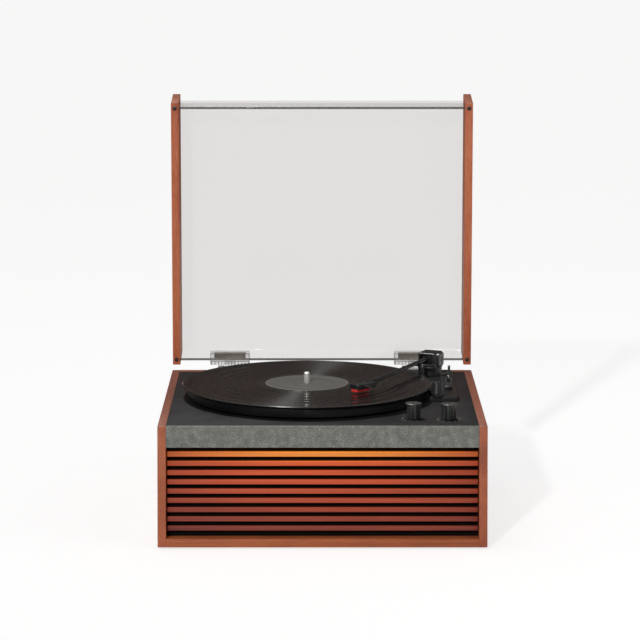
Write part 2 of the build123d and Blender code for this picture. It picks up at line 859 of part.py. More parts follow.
# The phono sockets: two flanged barrels with a hollow centre
with BuildPart() as rca_sockets:
    with BuildSketch(facing_back(0, panel_back, 0)):
        with Locations(*[(-x, height) for x, height in rca_places]):
            Circle(jack_flange_radius)
    extrude(amount=jack_flange_thickness)
    with BuildSketch(facing_back(0, panel_back + jack_flange_thickness, 0)):
        with Locations(*[(-x, height) for x, height in rca_places]):
            Circle(rca_barrel_radius)
    extrude(amount=rca_barrel_length)
    with BuildSketch(facing_back(0, panel_back, 0)):
        with Locations(*[(-x, height) for x, height in rca_places]):
            Circle(jack_body_radius)
    extrude(amount=-jack_body_length)
    with BuildSketch(facing_back(0, panel_back + jack_flange_thickness + rca_barrel_length, 0)):
        with Locations(*[(-x, height) for x, height in rca_places]):
            Circle(rca_bore_radius)
    extrude(amount=-rca_barrel_length, mode=Mode.SUBTRACT)
rca_sockets.part.label = "rca_sockets"
export_step(rca_sockets.part, "parts/rca_sockets.step")

# The aux and power sockets: flanged bodies with a blind bore
for jack_name, jack_x, bore_radius in (
    ("aux_socket", aux_x, aux_bore_radius),
    ("dc_socket", dc_x, dc_bore_radius),
):
    with BuildPart() as jack:
        with BuildSketch(facing_back(jack_x, panel_back, socket_height)):
            Circle(jack_flange_radius)
        extrude(amount=jack_flange_thickness)
        with BuildSketch(facing_back(jack_x, panel_back, socket_height)):
            Circle(jack_body_radius)
        extrude(amount=-jack_body_length)
        with BuildSketch(facing_back(jack_x, panel_back + jack_flange_thickness, socket_height)):
            Circle(bore_radius)
        extrude(amount=-jack_bore_length, mode=Mode.SUBTRACT)
    jack.part.label = jack_name
    export_step(jack.part, f"parts/{jack_name}.step")

# The tonearm's own directions, seen from its pivot
arm_forward = (-math.sin(math.radians(arm_angle)), -math.cos(math.radians(arm_angle)))
arm_across = (-arm_forward[1], arm_forward[0])
head_angle = math.radians(arm_angle + head_offset_angle)
head_forward = (-math.sin(head_angle), -math.cos(head_angle))


def arm_place(along, across, height):
    """A point of the arm: along it from the pivot, across it to the right, above the deck."""
    x = arm_pivot_x + along * arm_forward[0] + across * arm_across[0]
    y = front_y + arm_pivot_behind + along * arm_forward[1] + across * arm_across[1]
    return (x, y, top_z + height)


def arm_level(along, across, height):
    """A horizontal plane on the arm whose own x runs along it."""
    return Plane(origin=arm_place(along, across, height), x_dir=(*arm_forward, 0), z_dir=(0, 0, 1))


def arm_section(along, height):
    """An upright plane square to the arm whose normal runs along it."""
    return Plane(origin=arm_place(along, 0, height), x_dir=(0, 0, 1), z_dir=(*arm_forward, 0))


def arm_side(across, height):
    """An upright plane beside the arm whose normal points to the arm's right."""
    return Plane(origin=arm_place(0, across, height), x_dir=(0, 0, 1), z_dir=(*arm_across, 0))


def head_level(along, across, height):
    """A horizontal plane in the head, whose own x runs along the cartridge."""
    start = arm_place(arm_tube_length, 0, height)
    x = start[0] + along * head_forward[0] - across * head_forward[1]
    y = start[1] + along * head_forward[1] + across * head_forward[0]
    return Plane(origin=(x, y, start[2]), x_dir=(*head_forward, 0), z_dir=(0, 0, 1))


# The arm turret: a round foot with a shaft, and the housing that holds the pitch axle
turret_low = base_height + body_gap
with BuildPart() as arm_turret:
    with BuildSketch(arm_level(0, 0, turret_low)):
        Circle(turret_radius)
    extrude(amount=housing_low - turret_low + housing_round)
    with BuildSketch(arm_level(housing_shift, 0, housing_low)):
        RectangleRounded(housing_length, housing_width, housing_round)
    extrude(amount=housing_top - housing_low)
    fillet(arm_turret.edges().group_by(Axis.Z)[-1], radius=housing_round / 2)
    with BuildSketch(arm_section(housing_shift + housing_length, (tunnel_low + tunnel_top) / 2)):
        Rectangle(tunnel_top - tunnel_low, tunnel_width)
    extrude(amount=-2 * housing_length, mode=Mode.SUBTRACT)
    with BuildSketch(arm_side(housing_width / 2, arm_axis_height - cap_drop)):
        RectangleRounded(cap_size, cap_size, housing_round)
    extrude(amount=cap_thickness)
    with BuildSketch(arm_side(housing_width / 2 + cap_thickness, arm_axis_height)):
        Circle(cap_screw_radius)
    extrude(amount=-cap_screw_depth, mode=Mode.SUBTRACT)
    with BuildSketch(arm_side(0, arm_axis_height)):
        Circle(axle_radius + running_fit)
    extrude(amount=tunnel_width / 2 + axle_hole_depth, both=True, mode=Mode.SUBTRACT)
    with BuildSketch(arm_level(0, 0, turret_low)):
        Circle(turret_shaft_radius)
    extrude(amount=-turret_shaft_depth)
arm_turret.part.label = "arm_turret"
export_step(arm_turret.part, "parts/arm_turret.step")

# The arm tube: a straight tube from a pivot block on its axle, with a stub for the tail weight
block_width = tunnel_width - 4 * body_gap
axle_length = tunnel_width + 2 * (axle_hole_depth - running_fit)
with BuildPart() as arm_tube:
    with BuildSketch(arm_section(arm_tube_length, arm_axis_height)):
        Circle(arm_tube_radius)
    extrude(amount=-arm_tube_length)
    with BuildSketch(arm_level(0, 0, arm_axis_height - pivot_block_height / 2)):
        RectangleRounded(pivot_block_length, block_width, pivot_block_round)
    extrude(amount=pivot_block_height)
    with BuildSketch(arm_side(0, arm_axis_height)):
        Circle(axle_radius)
    extrude(amount=axle_length / 2, both=True)
    with BuildSketch(arm_section(-tail_length, arm_axis_height - tail_drop)):
        Circle(tail_radius)
    extrude(amount=tail_length)
arm_tube.part.label = "arm_tube"
export_step(arm_tube.part, "parts/arm_tube.step")

# The tail weight: a steel drum on the stub behind the housing
with BuildPart() as counterweight:
    with BuildSketch(arm_section(-tail_length, arm_axis_height - tail_drop)):
        Circle(weight_radius)
        Circle(tail_radius + fit_play, mode=Mode.SUBTRACT)
    extrude(amount=weight_length)
    weight_rims = counterweight.edges().filter_by(GeomType.CIRCLE).sort_by(SortBy.LENGTH)[-2:]
    chamfer(weight_rims, length=weight_chamfer)
counterweight.part.label = "counterweight"
export_step(counterweight.part, "parts/counterweight.step")

# The headshell: a collar on the tube and a skirted shell turned inwards by the offset angle
shell_top = arm_axis_height + headshell_thickness / 2
shell_low = shell_top - headshell_thickness
skirt_low = shell_low - headshell_skirt
with BuildPart() as headshell:
    with BuildSketch(head_level(headshell_length / 2 - headshell_overlap, 0, skirt_low)):
        RectangleRounded(headshell_length, headshell_width, headshell_corner)
    extrude(amount=shell_top - skirt_low)
    fillet(headshell.edges().group_by(Axis.Z)[-1], radius=headshell_round)
    with BuildSketch(head_level(headshell_length / 2 - headshell_overlap + headshell_mouth, 0, skirt_low)):
        Rectangle(headshell_length, headshell_width - 2 * headshell_wall)
    extrude(amount=headshell_skirt, mode=Mode.SUBTRACT)
    with BuildSketch(head_level(headshell_length - finger_from_tip, 0, shell_low)):
        with Locations((0, headshell_width / 2 + finger_length / 2 - finger_root)):
            RectangleRounded(finger_width, finger_length, finger_corner)
    extrude(amount=finger_thickness)
    with BuildSketch(arm_section(arm_tube_length + collar_reach, arm_axis_height - collar_drop)):
        Circle(collar_radius)
    extrude(amount=-collar_length - collar_reach)
    with BuildSketch(arm_section(arm_tube_length, arm_axis_height)):
        Circle(arm_tube_radius + fit_play)
    extrude(amount=-collar_length, mode=Mode.SUBTRACT)
    with BuildSketch(arm_section(arm_tube_length, arm_axis_height)):
        Circle(arm_tube_radius + fit_play)
    extrude(amount=fit_play, mode=Mode.SUBTRACT)
headshell.part.label = "headshell"
export_step(headshell.part, "parts/headshell.step")

# The cartridge: a black block under the shell
stylus_top = shell_low - cartridge_height
stylus_low = record_top + stylus_clearance
with BuildPart() as cartridge:
    with BuildSketch(head_level(cartridge_start + cartridge_length / 2, 0, shell_low)):
        RectangleRounded(cartridge_length, cartridge_width, cartridge_corner)
    extrude(amount=-cartridge_height)
cartridge.part.label = "cartridge"
export_step(cartridge.part, "parts/cartridge.step")

# The stylus: a red plug under the cartridge with a fine tip that reaches to the groove
stylus_start = headshell_length - headshell_overlap - stylus_length
with BuildPart() as stylus:
    with BuildSketch(head_level(stylus_start + stylus_length / 2, 0, stylus_low)):
        RectangleRounded(stylus_length, stylus_width, stylus_corner)
    extrude(amount=stylus_top - stylus_low)
    low_edges = stylus.edges().group_by(Axis.Z)[0]
    chamfer(low_edges, length=stylus_chamfer)
    with BuildSketch(head_level(stylus_start + stylus_length - tip_back, 0, stylus_low)):
        Circle(tip_radius)
    tip_reach = stylus_clearance + groove_drop - tip_clearance
    extrude(amount=-tip_reach, taper=tip_taper)
stylus.part.label = "stylus"
export_step(stylus.part, "parts/stylus.step")

# The tonearm base: a raised plate cut round beside the platter, with a bearing boss below
rest_angle_radians = math.radians(rest_angle)
rest_x = arm_pivot_x - rest_distance * math.sin(rest_angle_radians)
rest_behind = arm_pivot_behind - rest_distance * math.cos(rest_angle_radians)
lift_middle = math.radians((lift_bar_inner_angle + lift_bar_outer_angle) / 2)
lift_stem_x = arm_pivot_x - lift_radius * math.sin(lift_middle)
lift_stem_behind = arm_pivot_behind - lift_radius * math.cos(lift_middle)
cue_slot_length = 2 * (cue_disc_radius + cue_slot_play)
cue_slot_width = cue_lever_width + 2 * body_gap
cue_ear_offset = cue_slot_width / 2 + cue_ear_width / 2
cue_ear_top = cue_axis_height + cue_pin_radius + cue_ear_wall
slot_length = slider_shank_length + 2 * slider_travel + 2 * body_gap
slot_width = slider_shank_width + 2 * body_gap
boss_depth = base_height + turret_shaft_depth
with BuildPart() as tonearm_base:
    with BuildSketch(level(base_centre_x, base_centre_behind, 0)):
        RectangleRounded(base_width, base_length, base_corner)
    extrude(amount=base_height)
    fillet(tonearm_base.edges().group_by(Axis.Z)[-1], radius=base_edge_round)
    with BuildSketch(level(platter_x, platter_behind, 0)):
        Circle(platter_radius + base_platter_clearance)
    extrude(amount=base_height, mode=Mode.SUBTRACT)
    with BuildSketch(level(arm_pivot_x, arm_pivot_behind, 0)):
        Circle(base_boss_radius)
    extrude(amount=base_height - boss_depth)
    with BuildSketch(level(arm_pivot_x, arm_pivot_behind, base_height)):
        Circle(turret_shaft_radius + running_fit)
    extrude(amount=-boss_depth, mode=Mode.SUBTRACT)
    with BuildSketch(level(lift_stem_x, lift_stem_behind, base_height)):
        Circle(lift_stem_radius + running_fit)
    extrude(amount=-base_height, mode=Mode.SUBTRACT)
    with BuildSketch(level(cue_x, cue_behind, base_height)):
        Rectangle(cue_slot_width, cue_slot_length)
    extrude(amount=-base_height, mode=Mode.SUBTRACT)
    with BuildSketch(level(cue_x, cue_behind, base_height)):
        with Locations((-cue_ear_offset, 0), (cue_ear_offset, 0)):
            Rectangle(cue_ear_width, 2 * (cue_disc_radius - cue_slot_play))
    extrude(amount=cue_ear_top - base_height)
    with BuildSketch(facing_right(cue_x, cue_behind, cue_axis_height)):
        Circle(cue_pin_radius + running_fit)
    extrude(amount=cue_ear_offset + cue_ear_width, both=True, mode=Mode.SUBTRACT)
    with BuildSketch(level(slider_x, slider_behind, base_height)):
        Rectangle(slot_width, slot_length)
    extrude(amount=-base_height, mode=Mode.SUBTRACT)
tonearm_base.part.label = "tonearm_base"
export_step(tonearm_base.part, "parts/tonearm_base.step")

# The arm rest: a post with a collar, a low lip on the record's side and a wall on the other
cradle_low = arm_axis_height - arm_tube_radius - 2 * body_gap
cradle_wall_x = arm_tube_radius + 3 * body_gap
clip_axis_x = rest_radius - clip_barrel_radius
clip_axis_height = rest_wall_top + clip_barrel_radius + body_gap
with BuildPart() as arm_rest:
    with BuildSketch(level(rest_x, rest_behind, base_height)):
        Circle(rest_collar_radius)
    extrude(amount=rest_collar_height)
    with BuildSketch(level(rest_x, rest_behind, base_height)):
        Circle(rest_radius)
    extrude(amount=rest_wall_top - base_height)
    with BuildSketch(level(rest_x, rest_behind, cradle_low)):
        with Locations((cradle_wall_x - rest_radius, 0)):
            Rectangle(2 * rest_radius, 3 * rest_radius)
    extrude(amount=rest_wall_top, mode=Mode.SUBTRACT)
    ear_offset = clip_width / 2 - clip_ear_inset
    with BuildSketch(facing_front(rest_x + clip_axis_x, rest_behind, clip_axis_height)):
        Circle(clip_barrel_radius)
        with Locations((0, -clip_barrel_radius)):
            Rectangle(2 * clip_barrel_radius, 2 * clip_barrel_radius)
    extrude(amount=ear_offset / 2, both=True)
    with BuildSketch(facing_front(rest_x + clip_axis_x, rest_behind, clip_axis_height)):
        Circle(clip_pin_radius)
    extrude(amount=clip_width / 2, both=True)
arm_rest.part.label = "arm_rest"
export_step(arm_rest.part, "parts/arm_rest.step")

# The arm clip: a small hook that swings over the parked tube, drawn where it stands open
clip_open = math.radians(clip_open_angle)
clip_plane = Plane(
    origin=(rest_x + clip_axis_x, front_y + rest_behind, top_z + clip_axis_height),
    x_dir=(-math.cos(clip_open), 0, math.sin(clip_open)),
    z_dir=(0, 1, 0),
)
clip_ear_gap = ear_offset / 2 + clip_ear_play
clip_pin_hole = clip_pin_radius + running_fit
clip_low = clip_barrel_radius - clip_thickness
with BuildPart() as arm_clip:
    with BuildSketch(clip_plane):
        Circle(clip_barrel_radius)
        with Locations((clip_reach / 2, clip_low + clip_thickness / 2)):
            Rectangle(clip_reach, clip_thickness)
        with Locations((clip_reach - clip_thickness / 2, clip_low - clip_hook / 2)):
            Rectangle(clip_thickness, clip_hook)
    extrude(amount=clip_width / 2, both=True)
    with BuildSketch(clip_plane):
        Rectangle(2 * (clip_barrel_radius + clip_slot_play), 4 * clip_barrel_radius)
    extrude(amount=clip_ear_gap, both=True, mode=Mode.SUBTRACT)
    with BuildSketch(clip_plane):
        Circle(clip_pin_hole)
    extrude(amount=clip_width, both=True, mode=Mode.SUBTRACT)
arm_clip.part.label = "arm_clip"
export_step(arm_clip.part, "parts/arm_clip.step")

# The cue lift bar: an arc under the tube, on a stem that slides in the base
lift_bar_top = arm_axis_height - arm_tube_radius - body_gap
lift_bar_low = lift_bar_top - lift_bar_height
lift_arc = CenterArc(
    (0, 0),
    lift_radius,
    270 - lift_bar_inner_angle,
    lift_bar_inner_angle - lift_bar_outer_angle,
)
with BuildPart() as cue_lift_bar:
    with BuildSketch(level(arm_pivot_x, arm_pivot_behind, lift_bar_low)):
        SlotArc(lift_arc, lift_bar_width)
    extrude(amount=lift_bar_height)
    with BuildSketch(level(lift_stem_x, lift_stem_behind, body_gap)):
        Circle(lift_stem_radius)
    extrude(amount=lift_bar_low - body_gap)
cue_lift_bar.part.label = "cue_lift_bar"
export_step(cue_lift_bar.part, "parts/cue_lift_bar.step")

# The cue lever: a thin lever on a cross pin between the ears of the base
with BuildPart() as cue_lever:
    with BuildSketch(facing_right(cue_x, cue_behind, cue_axis_height)):
        Circle(cue_disc_radius)
        with Locations((0, (cue_lever_top - cue_axis_height) / 2)):
            Rectangle(cue_lever_width, cue_lever_top - cue_axis_height)
        with Locations((0, cue_lever_top - cue_axis_height)):
            Circle(cue_knob_radius)
    extrude(amount=cue_lever_width / 2, both=True)
    with BuildSketch(facing_right(cue_x, cue_behind, cue_axis_height)):
        Circle(cue_pin_radius)
    extrude(amount=cue_ear_offset + cue_ear_width / 2, both=True)
cue_lever.part.label = "cue_lever"
export_step(cue_lever.part, "parts/cue_lever.step")

# The speed slider: a ridged thumb piece whose shank runs in the slot of the base
with BuildPart() as speed_slider:
    with BuildSketch(level(slider_x, slider_behind, base_height + body_gap)):
        RectangleRounded(slider_width, slider_length, slider_corner)
    extrude(amount=slider_rise)
    with BuildSketch(level(slider_x, slider_behind, base_height + body_gap + slider_rise)):
        with GridLocations(0, slider_length / 4, 1, 3):
            Rectangle(slider_width, ridge_depth)
    extrude(amount=-ridge_depth, mode=Mode.SUBTRACT)
    with BuildSketch(level(slider_x, slider_behind, base_height + body_gap)):
        Rectangle(slider_shank_width, slider_shank_length)
    extrude(amount=-base_height)
speed_slider.part.label = "speed_slider"
export_step(speed_slider.part, "parts/speed_slider.step")

# The lid's own directions: along it from the hinge pins, and from its open side to its top
pin_y = front_y + cabinet_depth + pin_behind
pin_z = top_z + pin_rise
lid_half_width = cabinet_width / 2 - lid_side_gap
cover_half_width = lid_half_width - cheek_thickness


def lid_place(x, along, above):
    """A point of the open lid, from its hinge axis."""
    y = pin_y - along * lean_sine + above * lean_cosine
    z = pin_z + along * lean_cosine + above * lean_sine
    return (x, y, z)


def lid_profile(x):
    """A plane across the lid at x: its own x runs along the lid, its own y to the lid's top."""
    return Plane(
        origin=lid_place(x, 0, 0),
        x_dir=(0, -lean_sine, lean_cosine),
        z_dir=(-1, 0, 0),
    )


def lid_level(x, along, above):
    """A plane parallel to the lid's top whose normal points to the lid's top."""
    return Plane(
        origin=lid_place(x, along, above),
        x_dir=(-1, 0, 0),
        z_dir=(0, lean_cosine, lean_sine),
    )


# The lid's cheeks: wooden boards that rest on the side panels when the lid is shut
cheek_middle = (lid_start + lid_length / 2, lid_low + cheek_height / 2)
bumper_alongs = (lid_start + bumper_inset, lid_start + lid_length - bumper_inset)
with BuildPart() as lid_cheek_left:
    with BuildSketch(lid_profile(-cover_half_width)):
        with Locations(cheek_middle):
            Rectangle(lid_length, cheek_height)
    extrude(amount=cheek_thickness)
    fillet(lid_cheek_left.faces().sort_by(Axis.X)[0].edges(), radius=wood_edge_round)
    for along in bumper_alongs:
        with BuildSketch(lid_level(-lid_half_width + cheek_thickness / 2, along, lid_low)):
            Circle(bumper_radius + fit_play)
        extrude(amount=bumper_sunk, mode=Mode.SUBTRACT)
lid_cheek_left.part.label = "lid_cheek_left"
export_step(lid_cheek_left.part, "parts/lid_cheek_left.step")

with BuildPart() as lid_cheek_right:
    with BuildSketch(lid_profile(lid_half_width)):
        with Locations(cheek_middle):
            Rectangle(lid_length, cheek_height)
    extrude(amount=cheek_thickness)
    fillet(lid_cheek_right.faces().sort_by(Axis.X)[-1].edges(), radius=wood_edge_round)
    for along in bumper_alongs:
        with BuildSketch(lid_level(lid_half_width - cheek_thickness / 2, along, lid_low)):
            Circle(bumper_radius + fit_play)
        extrude(amount=bumper_sunk, mode=Mode.SUBTRACT)
lid_cheek_right.part.label = "lid_cheek_right"
export_step(lid_cheek_right.part, "parts/lid_cheek_right.step")

# The bumpers: rubber studs in the lower edges of the cheeks
with BuildPart() as lid_bumpers:
    for x in (-lid_half_width + cheek_thickness / 2, lid_half_width - cheek_thickness / 2):
        for along in bumper_alongs:
            with BuildSketch(lid_level(x, along, lid_low + bumper_sunk)):
                Circle(bumper_radius)
            extrude(amount=-bumper_sunk - bumper_proud)
lid_bumpers.part.label = "lid_bumpers"
export_step(lid_bumpers.part, "parts/lid_bumpers.step")

# The dust cover: one clear sheet bent twice, with its ends glued between the cheeks
wall_near = lid_start + sheet_end_inset
wall_far = lid_start + lid_length - sheet_end_inset
sheet_low = lid_low + sheet_edge_inset
sheet_top = lid_low + sheet_height
with BuildPart() as dust_cover:
    with BuildSketch(lid_profile(0)):
        with BuildLine():
            FilletPolyline(
                (wall_near, sheet_low),
                (wall_near, sheet_top),
                (wall_far, sheet_top),
                (wall_far, sheet_low),
                radius=sheet_bend_radius,
            )
            Line((wall_far, sheet_low), (wall_far - sheet_thickness, sheet_low))
            FilletPolyline(
                (wall_far - sheet_thickness, sheet_low),
                (wall_far - sheet_thickness, sheet_top - sheet_thickness),
                (wall_near + sheet_thickness, sheet_top - sheet_thickness),
                (wall_near + sheet_thickness, sheet_low),
                radius=sheet_bend_radius - sheet_thickness,
            )
            Line((wall_near + sheet_thickness, sheet_low), (wall_near, sheet_low))
        make_face()
    extrude(amount=cover_half_width, both=True)
dust_cover.part.label = "dust_cover"
export_step(dust_cover.part, "parts/dust_cover.step")

# The hinge sockets: clear blocks that grip the cover's near wall and hold the leaves
socket_low = lid_low - socket_front_gap
leaf_start = wall_near + sheet_thickness + body_gap
leaf_end = leaf_start + leaf_thickness
leaf_low = lid_low + body_gap
leaf_high = leaf_low + leaf_depth
tongue_high = leaf_low + tongue_thickness
with BuildPart() as hinge_sockets:
    for x in hinge_xs:
        with BuildSketch(lid_profile(x)):
            with Locations((socket_start + socket_length / 2, socket_low + socket_depth / 2)):
                Rectangle(socket_length, socket_depth)
        extrude(amount=hinge_width / 2, both=True)
        with BuildSketch(lid_profile(x)):
            with Locations((wall_near + sheet_thickness / 2, sheet_low + socket_depth / 2)):
                Rectangle(sheet_thickness + 2 * fit_play, socket_depth + 2 * fit_play)
        extrude(amount=hinge_width, both=True, mode=Mode.SUBTRACT)
        with BuildSketch(lid_profile(x)):
            with Locations(((leaf_start + leaf_end) / 2, socket_low + socket_depth / 4)):
                Rectangle(leaf_thickness + 2 * fit_play, 2 * leaf_depth)
        extrude(amount=leaf_width / 2 + fit_play, both=True, mode=Mode.SUBTRACT)
        with BuildSketch(lid_profile(x)):
            with Locations((leaf_start / 2, tongue_high / 2)):
                Rectangle(leaf_start + tongue_root, tongue_high + 2 * socket_front_gap)
        extrude(amount=barrel_length / 2 + fit_play, both=True, mode=Mode.SUBTRACT)
hinge_sockets.part.label = "hinge_sockets"
export_step(hinge_sockets.part, "parts/hinge_sockets.step")

# The hinge leaves: plates in the sockets, each with a tongue down to a barrel on the pin
with BuildPart() as hinge_leaves:
    for x in hinge_xs:
        with BuildSketch(lid_profile(x)):
            with Locations(((leaf_start + leaf_end) / 2, (leaf_low + leaf_high) / 2)):
                Rectangle(leaf_thickness, leaf_depth)
        extrude(amount=leaf_width / 2, both=True)
        with BuildSketch(lid_profile(x)):
            Circle(barrel_radius)
            with Locations(((leaf_start + tongue_root) / 2, (leaf_low + tongue_high) / 2)):
                Rectangle(leaf_start + tongue_root, tongue_thickness)
        extrude(amount=barrel_length / 2, both=True)
        with BuildSketch(lid_profile(x)):
            Circle(pin_radius + running_fit)
        extrude(amount=barrel_length, both=True, mode=Mode.SUBTRACT)
hinge_leaves.part.label = "hinge_leaves"
export_step(hinge_leaves.part, "parts/hinge_leaves.step")

# The hinge bases: plates screwed to the rear rail with two ears each for the pin
ear_inner = barrel_length / 2 + body_gap
with BuildPart() as hinge_bases:
    plate_middle = -hinge_plate_drop - hinge_plate_height / 2
    with BuildSketch(facing_back(0, cabinet_depth, plate_middle)):
        with Locations(*[(-x, 0) for x in hinge_xs]):
            RectangleRounded(hinge_width, hinge_plate_height, hinge_plate_corner)
    extrude(amount=hinge_plate_thickness)
    for x in hinge_xs:
        for ear_start in (x + ear_inner, x - ear_inner - ear_width):
            with BuildSketch(facing_right(ear_start, cabinet_depth + pin_behind, pin_rise)):
                Circle(ear_radius)
                with BuildLine():
                    Polyline(
                        (-pin_behind, -pin_rise - hinge_plate_drop - ear_foot_drop),
                        (-pin_behind, -pin_rise - hinge_plate_drop),
                        (-ear_radius, 0),
                        (ear_radius, 0),
                        (ear_radius, -pin_rise - hinge_plate_drop),
                        (-pin_behind, -pin_rise - hinge_plate_drop - ear_foot_drop),
                    )
                make_face()
            extrude(amount=ear_width)
    for x in hinge_xs:
        with BuildSketch(facing_right(x, cabinet_depth + pin_behind, pin_rise)):
            Circle(pin_radius + fit_play)
        extrude(amount=hinge_width / 2, both=True, mode=Mode.SUBTRACT)
    with BuildSketch(facing_back(0, cabinet_depth, 0)):
        with Locations(*[(-x, height) for x, height in hinge_screw_places]):
            Circle(screw_shank_radius + fit_play)
    extrude(amount=hinge_plate_thickness, mode=Mode.SUBTRACT)
hinge_bases.part.label = "hinge_bases"
export_step(hinge_bases.part, "parts/hinge_bases.step")

# The hinge pins: one steel pin through both ears of each hinge
with BuildPart() as hinge_pins:
    for x in hinge_xs:
        with BuildSketch(facing_right(x, cabinet_depth + pin_behind, pin_rise)):
            Circle(pin_radius)
        extrude(amount=ear_inner + ear_width, both=True)
hinge_pins.part.label = "hinge_pins"
export_step(hinge_pins.part, "parts/hinge_pins.step")
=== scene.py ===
# A record player in a wooden cabinet with a slatted speaker front and a clear lid:
# the finish of every piece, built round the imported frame. Lengths are in metres.
import json
import math

import bmesh
import bpy
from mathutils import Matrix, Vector

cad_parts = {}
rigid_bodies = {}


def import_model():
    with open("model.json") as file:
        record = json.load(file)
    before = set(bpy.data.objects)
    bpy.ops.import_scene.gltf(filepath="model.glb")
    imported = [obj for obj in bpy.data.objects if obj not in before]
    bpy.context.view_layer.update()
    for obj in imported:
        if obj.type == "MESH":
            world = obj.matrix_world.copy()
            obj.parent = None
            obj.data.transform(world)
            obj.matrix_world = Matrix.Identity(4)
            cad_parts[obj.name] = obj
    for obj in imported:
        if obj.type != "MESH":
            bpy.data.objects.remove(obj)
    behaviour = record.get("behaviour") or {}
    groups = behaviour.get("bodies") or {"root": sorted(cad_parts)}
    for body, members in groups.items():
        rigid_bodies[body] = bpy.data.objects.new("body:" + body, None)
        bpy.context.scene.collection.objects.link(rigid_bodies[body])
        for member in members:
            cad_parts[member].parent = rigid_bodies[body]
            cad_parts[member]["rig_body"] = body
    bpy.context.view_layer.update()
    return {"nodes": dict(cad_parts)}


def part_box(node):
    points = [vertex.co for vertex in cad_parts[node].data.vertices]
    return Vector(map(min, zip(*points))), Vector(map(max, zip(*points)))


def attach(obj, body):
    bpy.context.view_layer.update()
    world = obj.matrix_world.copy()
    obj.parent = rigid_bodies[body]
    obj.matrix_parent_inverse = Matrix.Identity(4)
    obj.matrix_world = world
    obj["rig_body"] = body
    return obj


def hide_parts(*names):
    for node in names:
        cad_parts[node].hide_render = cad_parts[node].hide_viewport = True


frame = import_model()
nodes = frame["nodes"]

# The camera stands in front of the cabinet, above its deck, and looks almost level. Its long
# lens is shifted down, so that upright edges stay upright in the picture.
front_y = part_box("left_side_panel")[0].y
deck_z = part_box("deck_plate")[1].z
camera_distance = 3.297
camera_rise = 0.6723
camera_side = -0.0076
camera_tilt = math.radians(2.173)
camera = bpy.data.objects.new("camera", bpy.data.cameras.new("camera"))
bpy.context.scene.collection.objects.link(camera)
camera.data.lens = 162.475
camera.data.sensor_width = 36.0
camera.data.shift_x = 0.0064
camera.data.shift_y = -0.5772
camera.data.clip_end = 100.0
camera.location = (camera_side, front_y - camera_distance, deck_z + camera_rise)
camera.rotation_euler = (math.pi / 2 - camera_tilt, 0, 0)
bpy.context.scene.camera = camera
bpy.context.scene.view_settings.view_transform = "Standard"


# The floor is one pale sheet that runs out of sight. The camera, and what mirrors or shows
# it, sees it almost white, with the object's shadow still on it.
class Flow:
    """A value that runs through a material, so that shader sums read as plain sums."""

    def __init__(self, finish, socket):
        self.finish = finish
        self.socket = socket

    def maths(self, operation, first, second):
        return self.finish.make("ShaderNodeMath", {"operation": operation}, {0: first, 1: second})

    def __add__(self, other):
        return self.maths("ADD", self, other)

    def __radd__(self, other):
        return self.maths("ADD", other, self)

    def __sub__(self, other):
        return self.maths("SUBTRACT", self, other)

    def __rsub__(self, other):
        return self.maths("SUBTRACT", other, self)

    def __mul__(self, other):
        return self.maths("MULTIPLY", self, other)

    def __rmul__(self, other):
        return self.maths("MULTIPLY", other, self)

    def __truediv__(self, other):
        return self.maths("DIVIDE", self, other)

    def __rtruediv__(self, other):
        return self.maths("DIVIDE", other, self)

    def __pow__(self, other):
        return self.maths("POWER", self, other)

    def wave(self, pitch):
        """A sine wave along the value, one rise and one fall in each pitch."""
        return self.maths("SINE", self * (2 * math.pi / pitch), 0.0)

    def between(self, low, high):
        """0 below low, 1 above high, and a straight climb from one to the other."""
        ends = {"Value": self, "From Min": low, "From Max": high}
        return self.finish.make("ShaderNodeMapRange", {"clamp": True}, ends)


